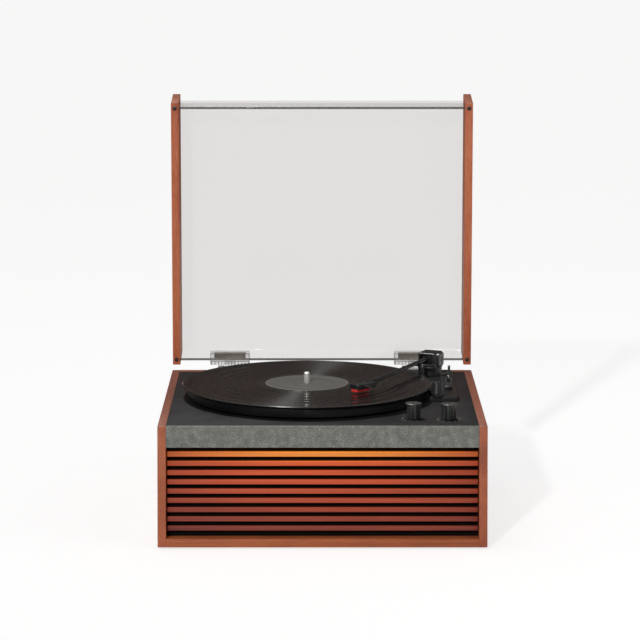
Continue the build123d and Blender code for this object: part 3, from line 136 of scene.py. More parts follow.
class Finish:
    """One material. Its nodes come from make, and surface joins them to one main shader."""

    def __init__(self, name):
        self.material = bpy.data.materials.new(name)
        self.material.use_nodes = True
        self.tree = self.material.node_tree
        self.tree.nodes.clear()
        self.output = self.tree.nodes.new("ShaderNodeOutputMaterial")

    def make(self, kind, settings=None, inputs=None, output=0):
        """A node of that kind: its settings first, then the values or links of its sockets."""
        node = self.tree.nodes.new(kind)
        for key, value in (settings or {}).items():
            if key == "stops":
                ramp = node.color_ramp
                while len(ramp.elements) < len(value):
                    ramp.elements.new(0.5)
                for element, (place, colour) in zip(ramp.elements, value):
                    element.position = place
                    element.color = (*colour, 1.0)
            else:
                setattr(node, key, value)
        for key, value in (inputs or {}).items():
            if isinstance(value, Flow):
                self.tree.links.new(value.socket, node.inputs[key])
            else:
                node.inputs[key].default_value = value
        return Flow(self, node.outputs[output])

    def place(self, scale=(1, 1, 1), turn=(0, 0, 0), shift=(0, 0, 0)):
        """The piece's own coordinates, drawn out, turned or shifted."""
        own = self.make("ShaderNodeTexCoord", output="Object")
        fitted = {"Vector": own, "Location": shift, "Rotation": turn, "Scale": scale}
        return self.make("ShaderNodeMapping", {}, fitted)

    def noise(self, where, scale, detail=3.0, rough=0.5):
        sizes = {"Vector": where, "Scale": scale, "Detail": detail, "Roughness": rough}
        return self.make("ShaderNodeTexNoise", {}, sizes)

    def ramp(self, value, *stops):
        return self.make("ShaderNodeValToRGB", {"stops": stops}, {0: value})

    def mix(self, share, first, second):
        """Two colours mixed by a share."""
        node = self.tree.nodes.new("ShaderNodeMix")
        node.data_type = "RGBA"
        for key, value in ((0, share), (6, first), (7, second)):
            if isinstance(value, Flow):
                self.tree.links.new(value.socket, node.inputs[key])
            else:
                node.inputs[key].default_value = value if key == 0 else (*value, 1.0)
        return Flow(self, node.outputs[2])

    def split(self, vector):
        """The x, y and z of a vector."""
        node = self.tree.nodes.new("ShaderNodeSeparateXYZ")
        self.tree.links.new(vector.socket, node.inputs[0])
        return [Flow(self, output) for output in node.outputs]

    def bump(self, height, depth, strength=1.0):
        return self.make(
            "ShaderNodeBump", {}, {"Height": height, "Distance": depth, "Strength": strength}
        )

    def surface(self, **sockets):
        """The main shader, joined to the output. Underscores in the names stand for spaces."""
        inputs = {key.replace("_", " "): value for key, value in sockets.items()}
        for key in ("Base Color", "Emission Color"):
            if key in inputs and not isinstance(inputs[key], Flow):
                inputs[key] = (*inputs[key], 1.0)
        shader = self.make("ShaderNodeBsdfPrincipled", {}, inputs)
        self.tree.links.new(shader.socket, self.output.inputs["Surface"])
        return self.material


def tint(red, green, blue):
    """A colour as a painter's 0 to 255 values, turned into light."""
    parts = (red / 255, green / 255, blue / 255)
    return tuple(p / 12.92 if p <= 0.04045 else ((p + 0.055) / 1.055) ** 2.4 for p in parts)


def new_piece(name, vertices, faces):
    """A mesh object at the origin, with its place in its mesh and its faces turned outwards."""
    mesh = bpy.data.meshes.new(name)
    mesh.from_pydata(vertices, [], faces)
    shell = bmesh.new()
    shell.from_mesh(mesh)
    bmesh.ops.remove_doubles(shell, verts=shell.verts, dist=1e-7)
    bmesh.ops.recalc_face_normals(shell, faces=shell.faces)
    shell.to_mesh(mesh)
    shell.free()
    piece = bpy.data.objects.new(name, mesh)
    bpy.context.scene.collection.objects.link(piece)
    return piece


floor_reach = 30.0
floor_white_share = 0.5
floor_white_strength = 1.45
paper = Finish("floor_paper")
floor_grey = (0.9, 0.9, 0.9, 1.0)
seen = [
    paper.make("ShaderNodeLightPath", output=ray)
    for ray in ("Is Camera Ray", "Is Glossy Ray", "Is Transmission Ray")
]
paper_matt = paper.make("ShaderNodeBsdfDiffuse", {}, {"Color": floor_grey})
paper_white = paper.make(
    "ShaderNodeEmission", {}, {"Color": (1, 1, 1, 1), "Strength": floor_white_strength}
)
paper_share = (seen[0] + seen[1] + seen[2]).between(0.0, 1.0) * floor_white_share
paper_surface = paper.make("ShaderNodeMixShader", {}, {0: paper_share, 1: paper_matt, 2: paper_white})
paper.tree.links.new(paper_surface.socket, paper.output.inputs["Surface"])
floor = new_piece(
    "floor",
    [(x * floor_reach, y * floor_reach, 0) for x, y in ((-1, -1), (1, -1), (1, 1), (-1, 1))],
    [(0, 1, 2, 3)],
)
floor.data.materials.append(paper.material)

# The studio: an even pale surround, a far key lamp at the front left that casts the shadow, soft
# boxes overhead and at the right, a small lamp that only draws the streaks on the record, and a
# ring of dark cloth that only gloss can see.
world = bpy.data.worlds.new("studio")
bpy.context.scene.world = world
world.use_nodes = True
surround = world.node_tree
surround.nodes.clear()
world_output = surround.nodes.new("ShaderNodeOutputWorld")
world_rays = surround.nodes.new("ShaderNodeLightPath")
world_warm = (1.0, 0.985, 0.965, 1)
world_white = (1, 1, 1, 1)
world_layers = []
for world_colour, world_strength in (
    (world_warm, 0.28),
    (world_warm, 0.26),
    (world_white, 1.0),
    (world_white, 1.0),
):
    layer = surround.nodes.new("ShaderNodeBackground")
    layer.inputs["Color"].default_value = world_colour
    layer.inputs["Strength"].default_value = world_strength
    world_layers.append(layer.outputs[0])
world_so_far = world_layers[0]
for ray, layer in zip(("Is Glossy Ray", "Is Transmission Ray", "Is Camera Ray"), world_layers[1:]):
    world_mix = surround.nodes.new("ShaderNodeMixShader")
    surround.links.new(world_rays.outputs[ray], world_mix.inputs[0])
    surround.links.new(world_so_far, world_mix.inputs[1])
    surround.links.new(layer, world_mix.inputs[2])
    world_so_far = world_mix.outputs[0]
surround.links.new(world_so_far, world_output.inputs["Surface"])

for lamp_name, kind, place, aim, size, power in (
    ("overhead_box", "AREA", (-0.3, -0.1, 1.9), (0.0, 0.0, 0.15), 0.9, 3.5),
    ("key_lamp", "SUN", (-1.0, -3.0, 1.55), (0.0, 0.0, 0.1), 0.05, 1.35),
    ("right_box", "AREA", (1.9, -1.2, 1.3), (0.0, 0.0, 0.1), 1.2, 8.0),
    ("streak_lamp", "AREA", (-0.34, 0.02, 1.75), (-0.02, -0.03, 0.16), 0.14, 70.0),
):
    lamp_data = bpy.data.lights.new(lamp_name, kind)
    lamp_data.energy = power
    if kind == "SUN":
        lamp_data.angle = size
    else:
        lamp_data.size = size
    lamp = bpy.data.objects.new(lamp_name, lamp_data)
    bpy.context.scene.collection.objects.link(lamp)
    lamp.location = place
    lamp.rotation_euler = (Vector(aim) - Vector(place)).to_track_quat("-Z", "Y").to_euler()
    lamp.visible_diffuse = lamp_name != "streak_lamp"

flag_radius = 2.6
flag_top = 2.1
flag_foot = 0.01
flag_steps = 48
flag_turns = [2 * math.pi * i / flag_steps for i in range(flag_steps)]
flag_ring = [(flag_radius * math.cos(turn), flag_radius * math.sin(turn)) for turn in flag_turns]
flag_points = [(x, y, z) for z in (flag_foot, flag_top) for x, y in flag_ring]
flag_faces = [
    (i, (i + 1) % flag_steps, flag_steps + (i + 1) % flag_steps, flag_steps + i)
    for i in range(flag_steps)
]
flag_cloth = Finish("flag_cloth")
dark_cloth = new_piece("dark_cloth", flag_points, flag_faces)
dark_cloth.data.materials.append(
    flag_cloth.surface(Base_Color=(0.02, 0.02, 0.02), Roughness=1.0, Specular_IOR_Level=0.0)
)
for ray in ("camera", "diffuse", "transmission", "shadow", "volume_scatter"):
    setattr(dark_cloth, "visible_" + ray, False)


# The cabinet: two side boards at full height, a bottom board between them and a rail across
# the back. They are plywood with a warm reddish veneer, glued and sanded to a soft edge.
def body_of(node):
    return nodes[node]["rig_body"]


def keep(node, material):
    """A CAD node whose shape is right stays, and gets its finish."""
    mesh = nodes[node].data
    mesh.materials.clear()
    mesh.materials.append(material)


def smooth(piece):
    """Round faces shade as round, and edges sharper than the angle stay crisp."""
    crisp_angle = 35.0
    for polygon in piece.data.polygons:
        polygon.use_smooth = True
    piece.data.set_sharp_from_angle(angle=math.radians(crisp_angle))


def baked(piece):
    """The piece with its modifiers worked into its mesh."""
    depsgraph = bpy.context.evaluated_depsgraph_get()
    mesh = bpy.data.meshes.new_from_object(piece.evaluated_get(depsgraph))
    piece.modifiers.clear()
    piece.data = mesh
    mesh.name = piece.name
    return piece


def ready(piece, body, material, slot, *stands_for):
    """The last lines of every new piece: its finish, its body and what it stands for."""
    piece.data.materials.clear()
    piece.data.materials.append(material)
    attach(piece, body)
    if stands_for:
        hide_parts(*stands_for)
    return piece


def eased(node, material, slot, width, angle=40.0):
    """A copy of a CAD node, joined up and with its sharp edges eased, in place of the node."""
    joining_reach = 2e-6
    flat_angle = 0.6
    edge_segments = 2
    mesh = nodes[node].data.copy()
    shell = bmesh.new()
    shell.from_mesh(mesh)
    bmesh.ops.remove_doubles(shell, verts=shell.verts, dist=joining_reach)
    bmesh.ops.dissolve_limit(
        shell, angle_limit=math.radians(flat_angle), verts=shell.verts, edges=shell.edges
    )
    shell.to_mesh(mesh)
    shell.free()
    piece = bpy.data.objects.new(node + "_eased", mesh)
    bpy.context.scene.collection.objects.link(piece)
    bevel = piece.modifiers.new("ease", "BEVEL")
    bevel.width = width
    bevel.segments = edge_segments
    bevel.limit_method = "ANGLE"
    bevel.angle_limit = math.radians(angle)
    bpy.context.view_layer.update()
    baked(piece)
    smooth(piece)
    return ready(piece, body_of(node), material, slot, node)


def veneer(name, along, light, middle, dark):
    """Veneer whose grain runs along x, y or z: soft figure, thin streaks and dark pores."""
    finish = Finish(name)
    gloss = 0.42

    def drawn_out(across_scale, along_scale):
        scale = [across_scale, across_scale, across_scale]
        scale["xyz".index(along)] = along_scale
        return finish.place(scale)

    figure = finish.noise(drawn_out(26.0, 3.0), 1.0, detail=4.0, rough=0.6)
    streaks = finish.noise(drawn_out(520.0, 9.0), 1.0, detail=3.0, rough=0.65)
    pores = finish.noise(drawn_out(1500.0, 70.0), 1.0, detail=1.0).between(0.62, 0.74)
    mottle = finish.noise(finish.place(), 14.0, detail=2.0)
    grain = figure * 0.5 + streaks * 0.35 + mottle * 0.15
    colour = finish.ramp(grain, (0.34, dark), (0.5, middle), (0.66, light))
    colour = finish.mix(pores * 0.55, colour, dark)
    relief = streaks * 0.5 - pores
    return finish.surface(
        Base_Color=colour,
        Roughness=gloss + streaks * 0.16 + pores * 0.2,
        Specular_IOR_Level=0.4,
        Normal=finish.bump(relief, 0.00012, 0.5),
    )


side_veneer = veneer("side_veneer", "y", tint(186, 108, 72), tint(164, 88, 58), tint(120, 60, 42))
cross_veneer = veneer("cross_veneer", "x", tint(184, 106, 62), tint(164, 88, 50), tint(124, 62, 38))
cabinet_edge = 0.0004
for panel in ("left_side_panel", "right_side_panel"):
    eased(panel, side_veneer, "cabinet_wood", cabinet_edge)
for board in ("bottom_board", "rear_rail"):
    eased(board, cross_veneer, "cabinet_wood", cabinet_edge)


# The back panel: thin black board held by a row of small screws, with the sockets in it.
def moulded(name, colour, rough, grain_size=0.0006, relief=0.00004, **fixed):
    """Moulded or painted black stuff: a fine grain, faint mottling and a soft sheen."""
    finish = Finish(name)
    grain = finish.noise(finish.place(), 1.0 / grain_size, detail=2.0, rough=0.7)
    mottle = finish.noise(finish.place(), 30.0, detail=3.0)
    lighter = tuple(min(1.0, part * 1.45 + 0.004) for part in colour)
    darker = tuple(part * 0.72 for part in colour)
    shade = finish.ramp(grain * 0.6 + mottle * 0.4, (0.36, darker), (0.5, colour), (0.66, lighter))
    return finish.surface(
        Base_Color=shade,
        Roughness=rough + (mottle - 0.5) * 0.18 + (grain - 0.5) * 0.1,
        Normal=finish.bump(grain, relief, 0.6),
        **fixed,
    )


back_board = moulded("back_board", tint(38, 34, 31), 0.75, 0.0009, Specular_IOR_Level=0.3)
eased("back_panel", back_board, "back_board", 0.0002)


def grow(name, tree_name, values):
    """Runs a Geometry Nodes tree with its inputs set, and returns its result as a mesh piece."""
    piece = new_piece(name, [], [])
    modifier = piece.modifiers.new("grow", "NODES")
    tree = bpy.data.node_groups[tree_name]
    modifier.node_group = tree
    for item in tree.interface.items_tree:
        if item.item_type == "SOCKET" and item.in_out == "INPUT" and item.name in values:
            modifier[item.identifier] = values[item.name]
    bpy.context.view_layer.update()
    return baked(piece)


class Growth:
    """A Geometry Nodes tree with named inputs, built node by node."""

    def __init__(self, name, inputs):
        self.tree = bpy.data.node_groups.new(name, "GeometryNodeTree")
        self.tree.interface.new_socket("Geometry", in_out="OUTPUT", socket_type="NodeSocketGeometry")
        for label, kind in inputs:
            self.tree.interface.new_socket(label, in_out="INPUT", socket_type="NodeSocket" + kind)
        self.given = self.tree.nodes.new("NodeGroupInput").outputs
        self.result = self.tree.nodes.new("NodeGroupOutput")

    def make(self, kind, settings=None, inputs=None):
        node = self.tree.nodes.new(kind)
        for key, value in (settings or {}).items():
            setattr(node, key, value)
        for key, value in (inputs or {}).items():
            if isinstance(value, bpy.types.NodeSocket):
                self.tree.links.new(value, node.inputs[key])
            else:
                node.inputs[key].default_value = value
        return node

    def finish(self, geometry):
        """Ends the tree: copies made real, with the finish that was given."""
        real = self.make("GeometryNodeRealizeInstances", {}, {0: geometry})
        dressed = self.make(
            "GeometryNodeSetMaterial",
            {},
            {"Geometry": real.outputs[0], "Material": self.given["Material"]},
        )
        self.tree.links.new(dressed.outputs[0], self.result.inputs[0])


row_growth = Growth(
    "row_of_blocks",
    [
        ("Count", "Int"),
        ("Start", "Vector"),
        ("Step", "Vector"),
        ("Block", "Vector"),
        ("Turn", "Rotation"),
        ("Material", "Material"),
    ],
)
row_line = row_growth.make(
    "GeometryNodeMeshLine",
    {"mode": "OFFSET"},
    {
        "Count": row_growth.given["Count"],
        "Start Location": row_growth.given["Start"],
        "Offset": row_growth.given["Step"],
    },
)
row_block = row_growth.make("GeometryNodeMeshCube", {}, {"Size": row_growth.given["Block"]})
row_copies = row_growth.make(
    "GeometryNodeInstanceOnPoints",
    {},
    {
        "Points": row_line.outputs[0],
        "Instance": row_block.outputs[0],
        "Rotation": row_growth.given["Turn"],
    },
)
row_growth.finish(row_copies.outputs[0])

frame_growth = Growth(
    "screws_round_a_panel",
    [
        ("Width", "Float"),
        ("Height", "Float"),
        ("Count", "Int"),
        ("Sides", "Int"),
        ("Flat", "Float"),
        ("Head", "Float"),
        ("Rise", "Float"),
        ("Place", "Vector"),
        ("Material", "Material"),
    ],
)
frame_path = frame_growth.make(
    "GeometryNodeCurvePrimitiveQuadrilateral",
    {},
    {"Width": frame_growth.given["Width"], "Height": frame_growth.given["Height"]},
)
frame_points = frame_growth.make(
    "GeometryNodeCurveToPoints",
    {"mode": "COUNT"},
    {"Curve": frame_path.outputs[0], "Count": frame_growth.given["Count"]},
)
frame_head = frame_growth.make(
    "GeometryNodeMeshCone",
    {},
    {
        "Vertices": frame_growth.given["Sides"],
        "Radius Top": frame_growth.given["Flat"],
        "Radius Bottom": frame_growth.given["Head"],
        "Depth": frame_growth.given["Rise"],
    },
)
frame_copies = frame_growth.make(
    "GeometryNodeInstanceOnPoints",
    {},
    {"Points": frame_points.outputs["Points"], "Instance": frame_head.outputs[0]},
)
frame_upright = frame_growth.make(
    "GeometryNodeTransform",
    {},
    {
        "Geometry": frame_copies.outputs[0],
        "Translation": frame_growth.given["Place"],
        "Rotation": (-math.pi / 2, 0, 0),
    },
)
frame_growth.finish(frame_upright.outputs[0])

dark_screw = moulded("dark_screw", (0.05, 0.047, 0.044), 0.34, 0.0004, Metallic=0.85)
panel_low, panel_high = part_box("back_panel")
panel_screw_inset = 0.007
panel_screw_rise = 0.0012
panel_screw_radius = 0.0028
panel_screw_flat = 0.0011
panel_screw_count = 14
back_panel_screws = grow(
    "back_panel_screws",
    "screws_round_a_panel",
    {
        "Width": panel_high.x - panel_low.x - 2 * panel_screw_inset,
        "Height": panel_high.z - panel_low.z - 2 * panel_screw_inset,
        "Count": panel_screw_count,
        "Sides": 20,
        "Flat": panel_screw_flat,
        "Head": panel_screw_radius,
        "Rise": panel_screw_rise,
        "Place": (0.0, panel_high.y, (panel_low.z + panel_high.z) / 2),
        "Material": dark_screw,
    },
)
smooth(back_panel_screws)
ready(back_panel_screws, "cabinet", dark_screw, "dark_screw")

# The deck plate: pressed board with a matt black film, finely pebbled like leathercloth.
deck_black = moulded(
    "deck_black", (0.0135, 0.013, 0.0128), 0.56, 0.0011, 0.00008, Specular_IOR_Level=0.2
)
eased("deck_plate", deck_black, "deck_black", 0.0002)

# The fascia: a bar of grey stone-effect paint with tiny light and dark flecks.
speckled = Finish("speckled_grey")
fleck_place = speckled.place()
flecks = speckled.noise(fleck_place, 1050.0, detail=2.0, rough=0.75)
clouds = speckled.noise(fleck_place, 120.0, detail=3.0)
grit = speckled.noise(fleck_place, 2600.0, detail=1.0)
speckled_mix = flecks * 0.62 + clouds * 0.16 + grit * 0.22
speckled_colour = speckled.ramp(
    speckled_mix,
    (0.36, tint(66, 66, 62)),
    (0.46, tint(98, 99, 94)),
    (0.54, tint(124, 125, 119)),
    (0.64, tint(188, 189, 181)),
)
fascia_grey = speckled.surface(
    Base_Color=speckled_colour,
    Roughness=0.5 + flecks * 0.2,
    Specular_IOR_Level=0.4,
    Normal=speckled.bump(flecks, 0.00012, 0.6),
)
eased("front_fascia", fascia_grey, "fascia_grey", 0.0003)

# The light strip: small warm lamps in a row behind the foot of the fascia, shining down on
# the slats. Each lamp is a yellow block on the white strip.
strip_white = moulded("strip_white", tint(228, 220, 200), 0.5, 0.0008)
keep("led_strip", strip_white)
lamp_glow = Finish("lamp_glow")
lamp_grain = lamp_glow.noise(lamp_glow.place(), 900.0)
warm_lamp = lamp_glow.surface(
    Base_Color=lamp_glow.ramp(lamp_grain, (0.3, tint(255, 196, 96)), (0.7, tint(255, 214, 130))),
    Roughness=0.35,
    Emission_Color=lamp_glow.ramp(lamp_grain, (0.3, (1.0, 0.42, 0.08)), (0.7, (1.0, 0.5, 0.12))),
    Emission_Strength=7.0,
)
strip_low, strip_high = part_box("led_strip")
lamp_count = 34
lamp_step = (strip_high.x - strip_low.x) / lamp_count
lamp_drop = 0.0002
lamp_block = (0.0048, 0.0036, 0.0008)
strip_middle_y = (strip_low.y + strip_high.y) / 2
strip_lamps = grow(
    "strip_lamps",
    "row_of_blocks",
    {
        "Count": lamp_count,
        "Start": (strip_low.x + lamp_step / 2, strip_middle_y, strip_low.z - lamp_drop),
        "Step": (lamp_step, 0, 0),
        "Block": lamp_block,
        "Material": warm_lamp,
    },
)
ready(strip_lamps, "cabinet", warm_lamp, "warm_light")

# The slats: nine level bars of stained wood. The light that the strip above throws on the upper ones is
# painted on as a glow, amber in the middle of the top bar and a deep red-brown lower down, fading towards
# the ends.
slat_top_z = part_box("grille_slat_1")[1].z
slat_pitch = slat_top_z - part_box("grille_slat_2")[1].z
slat_finish = Finish("stained_slat_painted_glow_and_shade")
slat_x, slat_y, slat_z = slat_finish.split(slat_finish.place())
slat_fall = (slat_z * -1.0 + slat_top_z) / slat_pitch
# Painted shade: the faces of each slat behind its front face, its top, underside, ends and back, get a
# near-black colour.
slat_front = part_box("grille_slat_1")[0].y
slat_face_ends = slat_front + 0.0006
slat_top_starts = slat_front + 0.0022
slat_face = 1.0 - slat_y.between(slat_face_ends, slat_top_starts)
slat_streaks = slat_finish.noise(slat_finish.place((9, 520, 520)), 1.0, detail=3.0, rough=0.6)
slat_figure = slat_finish.noise(slat_finish.place((4, 30, 120)), 1.0, detail=3.0)
slat_grain = slat_streaks * 0.5 + slat_figure * 0.5
slat_wood = slat_finish.ramp(
    slat_grain, (0.34, tint(88, 32, 26)), (0.5, tint(116, 46, 36)), (0.68, tint(142, 62, 44))
)
# Painted light: the strip's light on the slats is painted in as emission, strongest on the middle of the
# top bar and fading lower down and towards the ends.
lit_half_width = 0.19
lit_slats = 8.5
slat_middle = 1.0 - ((slat_x / lit_half_width) ** 2.0).between(0.0, 1.0)
slat_near = 1.0 - slat_fall.between(0.0, lit_slats)
slat_first = 1.0 - slat_fall.between(0.45, 1.3)
slat_painted_glow_colour = slat_finish.mix(
    slat_first * (slat_middle * 0.75 + 0.25), (1.0, 0.13, 0.012), (1.0, 0.36, 0.03)
)
slat_painted_glow = (slat_near * 0.34 + slat_near * slat_near * 0.2 + 0.035) * (slat_middle * 0.62 + 0.38)
slat_painted_glow = slat_painted_glow + slat_first * (slat_middle * 0.8 + 0.2) * 0.07
slat_painted_glow = slat_painted_glow * (0.72 + slat_grain * 0.56) * (slat_face * 0.95 + 0.05)
# The painted glow sits mostly on the front faces. The emission is painted light, not a lamp.
slat_painted_light = slat_finish.mix(slat_painted_glow, (0.0, 0.0, 0.0), slat_painted_glow_colour)
# Painted shade: near black behind the front face, the stained wood on the front face.
slat_wood_and_painted_shade = slat_finish.mix(slat_face, (0.012, 0.003, 0.002), slat_wood)
slat_wood_painted_glow_and_shade = slat_finish.surface(
    Base_Color=slat_wood_and_painted_shade,
    Roughness=0.4 + slat_streaks * 0.18,
    Specular_IOR_Level=0.4,
    Emission_Color=slat_painted_light,
    Emission_Strength=1.0,
    Normal=slat_finish.bump(slat_streaks, 0.0001, 0.5),
)
slat_names = sorted(name for name in nodes if name.startswith("grille_slat_"))
for slat_name in slat_names:
    eased(slat_name, slat_wood_painted_glow_and_shade, "slat_wood", 0.0003)

# The grille cloth: a black open weave stretched over its board behind the slats, coloured darker than black
# cloth as painted shade for the deep gaps between the slats.
weave = Finish("grille_weave")
weave_x, _, weave_z = weave.split(weave.place())
weave_pitch = 0.0011
weave_height = weave_x.wave(weave_pitch) * weave_z.wave(weave_pitch) * 0.5 + 0.5
# Painted shade: the weave's colours are nearly black, for the shade deep in the gaps between the slats.
grille_fabric_and_shade = weave.surface(
    Base_Color=weave.ramp(weave_height, (0.2, (0.0012, 0.001, 0.001)), (0.9, (0.006, 0.0035, 0.003))),
    Roughness=0.9,
    Specular_IOR_Level=0.15,
    Normal=weave.bump(weave_height, 0.0002, 0.6),
)
keep("grille_cloth", grille_fabric_and_shade)

# The loudspeakers: a board with two round holes, pressed steel baskets and paper cones.
keep("speaker_baffle", moulded("baffle_board", tint(120, 92, 62), 0.8, 0.0012, 0.0002))
keep("speaker_drivers", moulded("driver_steel", tint(120, 120, 122), 0.4, 0.0006, Metallic=0.9))
keep("speaker_cones", moulded("cone_pulp", tint(36, 34, 32), 0.85, 0.0009, 0.0002))


# The feet: rubber discs with an eased lower edge, one dark screw up through each. The same
# screws hold the hinge plates at the back.
soft_rubber = moulded("soft_rubber", (0.018, 0.018, 0.019), 0.7, 0.0007)
eased("rubber_feet", soft_rubber, "soft_rubber", 0.0004)
keep("wood_screws", dark_screw)

# The platter: a black pressed dish, hidden but for its rim, with a felt mat on it. Its black is made deeper
# as painted shade, for the shadow under the record.
# Painted shade: the platter's colour is darker than black plastic, for the shadow it sits in under the
# record.
platter_black = moulded("platter_black", (0.004, 0.004, 0.0042), 0.6, 0.0005, Specular_IOR_Level=0.2)
eased("platter", platter_black, "platter_black", 0.0004)
felt = Finish("black_felt")
felt_fuzz = felt.noise(felt.place(), 1800.0, detail=3.0, rough=0.8)
black_felt = felt.surface(
    Base_Color=felt.ramp(felt_fuzz, (0.3, (0.006, 0.006, 0.0065)), (0.7, (0.022, 0.021, 0.021))),
    Roughness=0.95,
    Specular_IOR_Level=0.1,
    Normal=felt.bump(felt_fuzz, 0.0003, 0.7),
)
eased("slipmat", black_felt, "black_felt", 0.0003)

# The record: pressed vinyl, turned with a raised bead, a smooth lead-in, six bands of grooves
# with gaps between them, and the smooth ring that runs in to the label.
def turned(name, profile, centre, steps=96):
    """A turned piece: a closed outline of (radius, height) points spun round an upright axis."""
    count = len(profile)
    vertices = [
        (
            centre[0] + radius * math.cos(2 * math.pi * i / steps),
            centre[1] + radius * math.sin(2 * math.pi * i / steps),
            height,
        )
        for i in range(steps)
        for radius, height in profile
    ]
    faces = [
        (
            i * count + j,
            ((i + 1) % steps) * count + j,
            ((i + 1) % steps) * count + (j + 1) % count,
            i * count + (j + 1) % count,
        )
        for i in range(steps)
        for j in range(count)
    ]
    piece = new_piece(name, vertices, faces)
    shell = bmesh.new()
    shell.from_mesh(piece.data)
    bmesh.ops.dissolve_degenerate(shell, edges=shell.edges, dist=1e-7)
    bmesh.ops.recalc_face_normals(shell, faces=shell.faces)
    shell.to_mesh(piece.data)
    shell.free()
    smooth(piece)
    return piece


def middle_of(node):
    low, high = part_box(node)
    return (low + high) / 2


record_low, record_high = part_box("vinyl_record")
record_centre = middle_of("vinyl_record")
record_radius = (record_high.x - record_low.x) / 2
record_thickness = record_high.z - record_low.z
label_low, label_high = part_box("record_label")
label_radius = (label_high.x - label_low.x) / 2
record_hole = 0.0036
rim_ease = 0.0003
rim_fall = 0.0001
label_lip = 0.00016
label_clearance = 0.00003
label_bed = 0.00002
groove_level = record_high.z - 0.00035
bead_width = 0.0024
lead_in_radius = record_radius - 0.0065
dead_wax_radius = label_radius + 0.0115
band_ends = [0.1443, 0.1296, 0.1132, 0.0996, 0.0829, 0.0708, dead_wax_radius]
band_gap = 0.0009
band_sink = 0.00003
band_rise = 0.000008
record_profile = [
    (record_hole, record_low.z),
    (record_radius - bead_width / 2, record_low.z),
    (record_radius - rim_ease, record_low.z + record_thickness * 0.3),
    (record_radius, record_low.z + record_thickness / 2),
    (record_radius - rim_ease, record_low.z + record_thickness * 0.7),
    (record_radius - bead_width * 0.3, record_high.z - rim_fall),
    (record_radius - bead_width * 0.55, record_high.z),
    (record_radius - bead_width * 0.8, record_high.z - rim_fall),
    (record_radius - bead_width, groove_level + 0.00002),
    (lead_in_radius, groove_level),
]
for outer, inner in zip(band_ends, band_ends[1:]):
    record_profile += [
        (outer, groove_level + band_rise),
        (inner + band_gap, groove_level + band_rise),
        (inner + band_gap * 0.8, groove_level - band_sink),
        (inner + band_gap * 0.2, groove_level - band_sink),
    ]
record_profile += [
    (dead_wax_radius, groove_level),
    (label_radius + 0.0012, groove_level),
    (label_radius + 0.0004, groove_level + label_lip),
    (label_radius + label_clearance, groove_level + label_lip),
    (label_radius + label_clearance, label_low.z - label_bed),
    (record_hole, label_low.z - label_bed),
]
vinyl = Finish("record_vinyl")
vinyl_place = vinyl.place(shift=(-record_centre.x, -record_centre.y, 0))
vinyl_x, vinyl_y, _ = vinyl.split(vinyl_place)
vinyl_radius = (vinyl_x * vinyl_x + vinyl_y * vinyl_y) ** 0.5
in_grooves = vinyl_radius.between(dead_wax_radius - 0.0002, dead_wax_radius) - vinyl_radius.between(
    lead_in_radius, lead_in_radius + 0.0004
)
groove_pitch = 0.00062
groove_wave = vinyl_radius.wave(groove_pitch)
ring_place = vinyl.make("ShaderNodeCombineXYZ", {}, {"X": vinyl_radius * 900.0})
ring_shade = vinyl.noise(ring_place, 1.0, detail=4.0, rough=0.7)
band_shade = vinyl.noise(
    vinyl.make("ShaderNodeCombineXYZ", {}, {"X": vinyl_radius * 70.0, "Y": 3.7}), 1.0, detail=2.0
)
vinyl_tone = in_grooves * (ring_shade * 0.5 + band_shade * 0.5)
vinyl_groove_colour = vinyl.ramp(
    vinyl_tone,
    (0.2, (0.008, 0.008, 0.0078)),
    (0.5, (0.0098, 0.0096, 0.0094)),
    (0.8, (0.0125, 0.0122, 0.0118)),
)
# Painted sheen: the smooth lead-in, bead and dead wax are a lighter black than the grooved bands, for their
# glossier reflection.
vinyl_colour_and_sheen = vinyl.mix(in_grooves, (0.028, 0.0275, 0.0265), vinyl_groove_colour)
record_vinyl = vinyl.surface(
    Base_Color=vinyl_colour_and_sheen,
    Roughness=0.24 - in_grooves * 0.02 + in_grooves * (ring_shade - 0.5) * 0.04,
    Anisotropic=0.92,
    Anisotropic_Rotation=0.25,
    Specular_IOR_Level=0.5,
    Coat_Weight=0.55,
    Coat_Roughness=0.035,
    Normal=vinyl.bump(groove_wave * in_grooves, 0.000004, 0.15),
)
vinyl_disc = turned("vinyl_disc", record_profile, record_centre, 256)
ready(vinyl_disc, "platter_unit", record_vinyl, "record_vinyl", "vinyl_record")

# The label: olive-grey paper pressed into the record, with a light printed rim, a pressed ring
# and a fine printed ring near its hole.
label_top = label_high.z
label_ring = 0.0355
label_ring_sink = 0.00012
label_ease = 0.0003
label_profile = [
    (record_hole, label_low.z),
    (label_radius, label_low.z),
    (label_radius, label_top - 0.00006),
    (label_radius - label_ease, label_top),
    (label_ring + 0.0006, label_top),
    (label_ring + 0.0002, label_top - label_ring_sink),
    (label_ring - 0.0002, label_top - label_ring_sink),
    (label_ring - 0.0006, label_top),
    (record_hole + label_ease, label_top),
    (record_hole, label_top - 0.0001),
]
label_finish = Finish("label_paper")
label_x, label_y, _ = label_finish.split(
    label_finish.place(shift=(-record_centre.x, -record_centre.y, 0))
)
label_reach = (label_x * label_x + label_y * label_y) ** 0.5
rim_print = label_reach.between(label_radius - 0.0013, label_radius - 0.0009)
inner_print = label_reach.between(0.0118, 0.012) - label_reach.between(0.0122, 0.0124)
paper_fibre = label_finish.noise(label_finish.place(), 900.0, detail=3.0, rough=0.7)
label_shade = label_finish.ramp(
    paper_fibre, (0.3, tint(92, 90, 82)), (0.5, tint(103, 101, 92)), (0.7, tint(114, 112, 102))
)
label_print = (rim_print + inner_print).between(0.0, 1.0)
